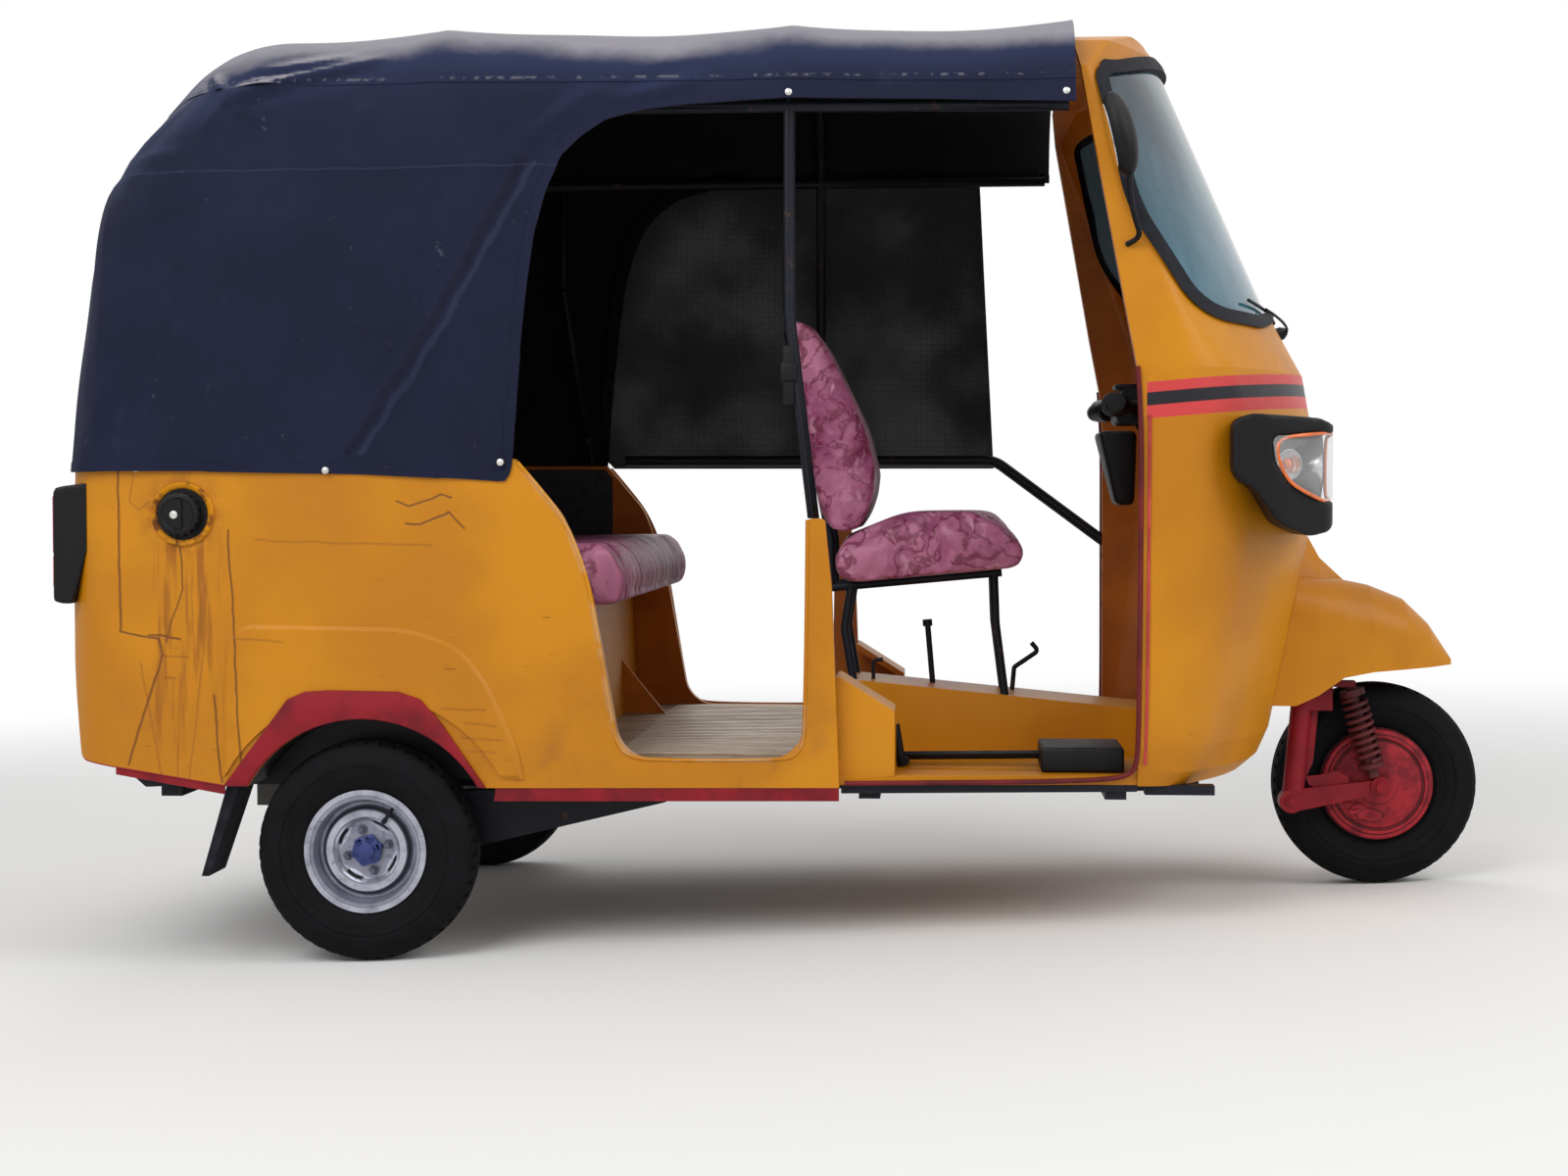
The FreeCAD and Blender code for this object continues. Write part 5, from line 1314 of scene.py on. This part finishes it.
def makeLamps():
    p = lampLook
    chrome = makePlain("lampChrome", paint(226, 228, 232), 0.16, 0.9)
    amber = makePlain("lampAmber", paint(226, 104, 20), 0.3, coat=0.5)
    bowl = spinAlong("lampBowl", p["bowl"], (1, 0, 0), [
        (0.0, 0.0), (0.0, 0.016), (0.01, 0.03), (0.028, 0.043), (0.052, 0.052), (0.06, 0.0525),
        (0.06, 0.0545), (0.05, 0.0545), (-0.004, 0.02), (-0.004, 0.0)], 48)
    bulb = spinAlong("lampBulb", p["bowl"], (1, 0, 0), [
        (0.002, 0.0), (0.002, 0.009), (0.03, 0.009), (0.038, 0.004), (0.039, 0.0)], 24)
    turnBowl = spinAlong("turnBowl", p["turnBowl"], p["turnAim"], [
        (0.0, 0.0), (0.0, 0.012), (0.016, 0.026), (0.022, 0.0265), (0.022, 0.028), (-0.003, 0.014),
        (-0.003, 0.0)])
    turnBulb = startBall("turnBulb", (1.707, -0.583, 0.93), (0.01, 0.01, 0.012), 8)
    trim = bendTube("amberTrim", amberLine, 0.0034, closed=True)
    for piece, material in ((bowl, chrome), (bulb, lampGlass), (turnBowl, chrome), (turnBulb, amber),
                            (trim, amber)):
        finishPair(piece, material)


makeLamps()
print("headlamps made")


# Fittings on the cab and the doorways

mirrorLook = {"head": (1.394, -0.655, 1.527), "lean": -0.24, "size": (0.03, 0.044, 0.078), "cut": -0.016,
              "glass": (0.033, 0.06)}
mirrorArm = [(1.412, -0.655, 1.462), (1.414, -0.65, 1.41), (1.426, -0.63, 1.372), (1.436, -0.606, 1.35),
             (1.424, -0.597, 1.338), (1.412, -0.59, 1.334)]
snapLook = {"places": [(-0.424, 0.923, 0.66), (-0.065, 0.919, 0.664), (0.262, 0.934, 0.664),
                       (0.792, 1.612, 0.6295), (1.3, 1.612, 0.611)],  # x, z, half width
            "section": [(-0.0045, 0.0), (-0.0045, 0.0035), (-0.003, 0.0062), (-0.0005, 0.007),
                        (0.003, 0.007)]}
fillerLook = {"dish": (-0.337, 0, 0.838), "cap": (-0.341, 0, 0.838), "capRadius": 0.0385, "ribs": 18}
# passenger doorway, from its rear top to its front top: x, z
doorway = [(0.292, 0.934), (0.335, 0.884), (0.377, 0.83), (0.405, 0.765), (0.4245, 0.7), (0.446, 0.57),
           (0.466, 0.45), (0.475, 0.408), (0.5, 0.386), (0.56, 0.382), (0.76, 0.382), (0.8, 0.386),
           (0.8185, 0.41), (0.8215, 0.47), (0.8245, 0.64), (0.8262, 0.828)]


def makeMirrors():
    # a domed back on a bent arm, cut flat for the glass
    p = mirrorLook
    head = startBall("mirrorHead", (0, 0, 0), p["size"], 20)
    openMesh(head)
    bpy.ops.mesh.bisect(plane_co=(p["cut"], 0, 0), plane_no=(-1, 0, 0), use_fill=True, clear_outer=True)
    bpy.ops.object.mode_set(mode="OBJECT")
    place = Matrix.Translation(p["head"]) @ Matrix.Rotation(p["lean"], 4, "Y")
    head.data.transform(place)
    heads = joinPieces("mirrorRight", [head, bendTube("mirrorArm", mirrorArm, 0.0052, 4)])
    glass = startRod("mirrorGlass", (-0.0162, 0, 0), (-0.018, 0, 0), 1.0, 48)
    glass.data.transform(place @ Matrix.Diagonal((1, *p["glass"], 1)))
    heads = joinPieces("mirrorHeads", [heads, mirrorPiece(heads, "Left")])
    glass = joinPieces("mirrorGlasses", [glass, mirrorPiece(glass, "Left")])
    finishPiece(heads, blackPlastic, replaces=["mirrors"], crease=40)
    finishPiece(glass, makePlain("mirrorSilver", paint(210, 216, 222), 0.06, 1.0))


def onCab(y, z, out=0.0):
    # a place on the curved nose or windscreen, or a little in front of it
    nose = float(np.interp(z, [0.78, 1.02, 1.11, 1.222, 1.668], [1.819, 1.822, 1.806, 1.744, 1.545]))
    return Vector((nose - 0.88 + math.sqrt(0.88 ** 2 - y * y) + out, y, z))


def makeWiper():
    foot = onCab(-0.1, 1.196)
    boss = spinAlong("wiperBoss", foot - Vector((0.004, 0, 0)), (0.92, 0, 0.4),
                     [(0.0, 0.0), (0.0, 0.014), (0.012, 0.013), (0.02, 0.008), (0.025, 0.0)], 24)
    bend = [foot + Vector((0.016, 0, 0.006)), foot + Vector((0.015, -0.06, 0.018)),
            onCab(-0.25, 1.238, 0.008)]
    blade = [onCab(y, z, 0.006) for y, z in ((-0.13, 1.232), (-0.25, 1.238), (-0.36, 1.248))]
    parts = [boss, bendTube("wiperArm", bend, 0.0028), bendTube("wiperBlade", blade, 0.0034)]
    finishPiece(joinPieces("wiper", parts), blackPlastic)


def makeSnaps():
    # snap studs along the hood's hem and valance
    snaps = []
    for x, z, out in snapLook["places"]:
        snap = spinProfile("snap", (x, 0, z), [(y - out, r) for y, r in snapLook["section"]], 20)
        snaps += [snap, mirrorPiece(snap, "Twin")]
    finishPiece(joinPieces("hoodSnaps", snaps), snapMetal)


def makeDishPaint():
    # body colour on the rolled edge, rusted, and painted shade, black, in the throat
    look = Finish("dishPaint", fillerLook["dish"])
    rust = look.place.noise(30.0, 4.0, 0.7).rise(0.45, 0.6)
    tone = coats(rust.colour(bodyPaintLook["yellow"], paint(112, 62, 26)),
                 (look.reach().fall(0.0476, 0.049), paint(14, 12, 12)))
    look.set(Base_Color=tone, Roughness=0.45 + rust * 0.3, Specular_IOR_Level=0.2)
    return look.material


def makeFiller():
    # pressed dish, ribbed cap with a grip, and its lock
    p = fillerLook
    dish = spinProfile("fillerDish", p["dish"], [
        (-0.655, 0.06), (-0.659, 0.0595), (-0.6612, 0.057), (-0.6606, 0.0515), (-0.6575, 0.048),
        (-0.657, 0.0)], 48)
    finishPiece(dish, makeDishPaint(), crease=40)
    cap = spinProfile("fillerCap", p["cap"], [
        (-0.6572, p["capRadius"]), (-0.674, p["capRadius"]), (-0.6762, 0.0368), (-0.677, 0.031),
        (-0.6752, 0.029), (-0.6752, 0.0)], 48)
    parts = [cap, startBlock("grip", (-0.349, -0.679, 0.812), (-0.333, -0.675, 0.864))]
    for i in range(p["ribs"]):
        a = 2 * math.pi * i / p["ribs"]
        x, z = p["cap"][0] + p["capRadius"] * math.cos(a), p["cap"][2] + p["capRadius"] * math.sin(a)
        parts.append(startRod("rib", (x, -0.658, z), (x, -0.6742, z), 0.003, 12))
    cap = joinPieces("fillerCap", parts)
    finishPiece(cap, blackPlastic, replaces=["fuel_cap"], crease=40)
    lock = startRod("fillerLock", (-0.347, -0.6785, 0.837), (-0.347, -0.6815, 0.837), 0.0075, 28)
    finishPiece(soften(lock, 0.001), snapMetal)


def makeDoorwayFittings():
    # knobs on the hood's stays
    knobs = [startBall("stayKnob", place, (0.011, 0.014, 0.012), 8)
             for place in ((0.187, 0.606, 1.345), (0.243, 0.606, 1.0))]
    finishPair(joinPieces("stayKnobs", knobs), framePaint, "Right")
    # rolled bead round the passenger doorway, on a side that narrows to the front
    edge = [(x, max(0.0, x - 0.25) / 0.635 * 0.043 - 0.655 + 0.0005, z) for x, z in doorway]
    finishPair(bendTube("doorwayBead", edge, 0.0036), bodyPaint)
    # black lining on the inner face of each tub side, over the bench
    lining = [(0.04, 0.775), (0.392, 0.775), (0.362, 0.838), (0.281, 0.932), (-0.09, 0.932)]
    lining = cutPlate("sideLining", [(x, 0.6262, z) for x, z in lining], (0, -0.0025, 0))
    finishPair(lining, makePlain("liningBlack", paint(20, 20, 24), 0.7), "Right")
    # belt buckle on the right middle post
    parts = [startBlock("buckle", (0.776, -0.612, 1.085), (0.806, -0.572, 1.118)),
             startBlock("strap", (0.78, -0.6065, 1.04), (0.801, -0.6025, 1.15))]
    finishPiece(soften(joinPieces("postBuckle", parts), 0.003, 3), blackPlastic)
    # towing bracket under the tail
    bracket = [(-0.462, 0.364), (-0.35, 0.346), (-0.378, 0.327), (-0.418, 0.325)]
    bracket = cutPlate("tailBracket", [(x, -0.64, z) for x, z in bracket], (0, 0.05, 0))
    finishPiece(soften(bracket, 0.003), framePaint)


makeMirrors()
makeWiper()
makeSnaps()
makeFiller()
makeDoorwayFittings()
for name, node, rounds in (("headlampHousings", "headlamp_pods", 5), ("tailLampHousings", "tail_lamps", 4)):
    housings = roundCopy(name, node, 0.0045, rounds)
    finishPiece(housings, blackPlastic, replaces=[node], crease=60)
print("fittings made")


# Handlebar: grips, hand levers, switch pods, dial and column shroud

barLook = {"grip": (1.4228, 0.232, 1.054), "gripAim": (-0.0163, 0.145, 0), "ribs": 11, "ribPitch": 0.008,
           "pod": (1.43, 0.17, 1.0535), "podAim": (-0.044, 0.1, 0)}
leverLine = [(1.452, 0.195, 1.056), (1.48, 0.225, 1.056), (1.476, 0.28, 1.052), (1.462, 0.335, 1.05)]


def makeBarFittings():
    p = barLook
    rib = ((0.0, 0.0165), (0.003, 0.0178), (0.006, 0.0165))
    ribs = [(0.01 + p["ribPitch"] * i + dx, r) for i in range(p["ribs"]) for dx, r in rib]
    grip = [(0.0, 0.0112), (0.0, 0.0205), (0.004, 0.0205), (0.006, 0.0165)] + ribs
    grip += [(0.104, 0.0175), (0.112, 0.0185), (0.1135, 0.0)]
    pod = [(0.0, 0.0112), (0.0, 0.021), (0.004, 0.024), (0.045, 0.024), (0.05, 0.021), (0.05, 0.0112)]
    parts = []
    for side in (-1, 1):
        across = Vector((1, side, 1))
        parts += [spinAlong("grip", across * Vector(p["grip"]), across * Vector(p["gripAim"]), grip, 28),
                  spinAlong("switchPod", across * Vector(p["pod"]), across * Vector(p["podAim"]), pod, 28),
                  bendTube("handLever", [across * Vector(place) for place in leverLine], 0.0048)]
    parts.append(soften(startBlock("dial", (1.428, -0.052, 1.09), (1.492, 0.052, 1.101)), 0.006, 3))
    finishPiece(joinPieces("barFittings", parts), blackPlastic, "steering")
    shroud = startBlock("columnShroud", (1.392, -0.1, 0.852), (1.47, 0.1, 1.004))
    pickFaces(shroud, lambda centre, normal: normal.z < -0.5)
    bpy.ops.transform.resize(value=(0.5, 0.6, 1), center_override=(1.466, 0, 0.852))
    bpy.ops.object.mode_set(mode="OBJECT")
    finishPiece(soften(shroud, 0.012, 3), blackPlastic, "steering")


makeBarFittings()


# Foot well: pedal box, linkage rods, and the pillar's holes as black discs of painted shade

footRods = [  # start, end, radius
    ((0.995, -0.405, 0.372), (1.262, -0.405, 0.376), 0.006),
    ((1.0, -0.365, 0.362), (1.262, -0.365, 0.366), 0.0045),
    ((1.005, -0.44, 0.3625), (1.005, -0.33, 0.3625), 0.008),
    ((0.998, -0.425, 0.352), (0.985, -0.425, 0.432), 0.009),
]


def makeFootWell():
    box = soften(startBlock("pedalBox", (1.262, -0.515, 0.3505), (1.418, -0.33, 0.398)), 0.006, 3)
    rods = [startRod("linkage", start, end, radius, 14) for start, end, radius in footRods]
    finishPiece(joinPieces("footLinkage", [box] + rods), blackPlastic)
    # the holes are black discs: painted shade
    holes = [startRod("hole", (1.4385, 0.5765, z), (1.4401, 0.5765, z), 0.007, 20)
             for z in (0.735, 0.692, 0.622)]
    black = makePlain("holeShade", paint(10, 10, 12), 0.8)
    finishPiece(joinPieces("pillarHoles", holes), black)


makeFootWell()
print("handlebar and foot well dressed")


# Tail: lamp lenses, blank plate and lid latch

tailLenses = {"tailTurn": (0.7, 0.76, (214, 96, 20)), "tailStop": (0.764, 0.872, (150, 16, 20))}


def makeTail():
    for name, (foot, head, tint) in tailLenses.items():
        lens = startBlock(name, (-0.5965, -0.626, foot), (-0.589, -0.486, head))
        finishPair(soften(lens, 0.0025, 3), makePlain(name, paint(*tint), 0.25, coat=0.6))
    plate = soften(startBlock("blankPlate", (-0.6047, -0.134, 0.831), (-0.6036, 0.134, 0.901)), 0.0004, 1)
    finishPiece(plate, makePlain("plateWhite", paint(222, 222, 216), 0.4))
    parts = [startRod("lidLatch", (-0.5775, 0, 0.456), (-0.592, 0, 0.456), 0.014, 28),
             startBlock("latchBar", (-0.595, -0.004, 0.446), (-0.5905, 0.004, 0.466))]
    finishPiece(soften(joinPieces("lidLatch", parts), 0.001), snapMetal, "engine_lid")


makeTail()
print("tail dressed")


# Floor, light and camera

studio = {"floorTone": 0.8, "floorEdge": (2.6, 6.5), "worldLight": 0.55,
          "lamps": {"keyLamp": ((-2.2, -4.6, 4.6), (0, 0, 0.8), 3.6, 190),  # place, target, size, power
                    "fillLamp": ((3.8, -2.6, 3.4), (0.4, 0, 0.8), 3.0, 90),
                    "backLamp": ((-1.0, 4.4, 4.2), (0, 0, 1.0), 3.0, 70)}}
# seen from the right, a little ahead of the middle, as in the photograph
eye = {"place": (1.0845, -5.2692, 0.8779), "yaw": 0.0647, "pitch": 0.0378, "lens": 57.84}


def makeFloor():
    startFresh()
    bpy.ops.mesh.primitive_plane_add(size=60, location=(0, 0, 0))
    floor = named(bpy.context.object, "studioFloor")
    look = Finish("studioFloor")
    tree = look.material.node_tree
    glow = tree.nodes.new("ShaderNodeEmission")
    path = tree.nodes.new("ShaderNodeLightPath")
    mix = tree.nodes.new("ShaderNodeMixShader")
    away = (look.x * look.x + look.y * look.y).root().rise(*studio["floorEdge"])
    mask = away * Signal(tree, path.outputs["Is Camera Ray"])
    tone = studio["floorTone"]
    look.set(Base_Color=(tone, tone, tone * 0.99, 1), Roughness=0.9)
    tree.links.new(mask.socket, mix.inputs[0])
    tree.links.new(look.shader.outputs[0], mix.inputs[1])
    tree.links.new(glow.outputs[0], mix.inputs[2])
    tree.links.new(mix.outputs[0], tree.nodes["Material Output"].inputs[0])
    floor.data.materials.append(look.material)


def makeWorld():
    world = bpy.data.worlds.new("studio")
    bpy.context.scene.world = world
    world.use_nodes = True
    tree = world.node_tree
    background = tree.nodes["Background"]
    path = tree.nodes.new("ShaderNodeLightPath")
    camera, glossy, through = [Signal(tree, path.outputs[f"Is {kind} Ray"])
                               for kind in ("Camera", "Glossy", "Transmission")]
    seen = camera.either(glossy).either(through)
    strength = seen * (1.0 - studio["worldLight"]) + studio["worldLight"]
    background.inputs["Color"].default_value = (1, 1, 1, 1)
    tree.links.new(strength.socket, background.inputs["Strength"])


def makeLights():
    for name, (place, target, size, power) in studio["lamps"].items():
        startFresh()
        bpy.ops.object.light_add(type="AREA", location=place)
        lamp = named(bpy.context.object, name)
        lamp.data.size = size
        lamp.data.energy = power
        lamp.rotation_euler = (Vector(target) - Vector(place)).to_track_quat("-Z", "Y").to_euler()


def makeCamera():
    yaw, pitch = eye["yaw"], eye["pitch"]
    look = Vector((-math.sin(yaw) * math.cos(pitch), math.cos(yaw) * math.cos(pitch), -math.sin(pitch)))
    across = Vector((math.cos(yaw), math.sin(yaw), 0))
    turn = Matrix((across, across.cross(look), -look)).transposed().to_4x4()
    turn.translation = eye["place"]
    data = bpy.data.cameras.new("photoCamera")
    data.lens = eye["lens"]
    data.sensor_width = 36
    camera = addObject("photoCamera", data)
    camera.matrix_world = settle @ turn
    bpy.context.scene.camera = camera


makeFloor()
makeWorld()
makeLights()
makeCamera()
bpy.context.scene.view_settings.view_transform = "Standard"
print("floor, lights and camera placed")
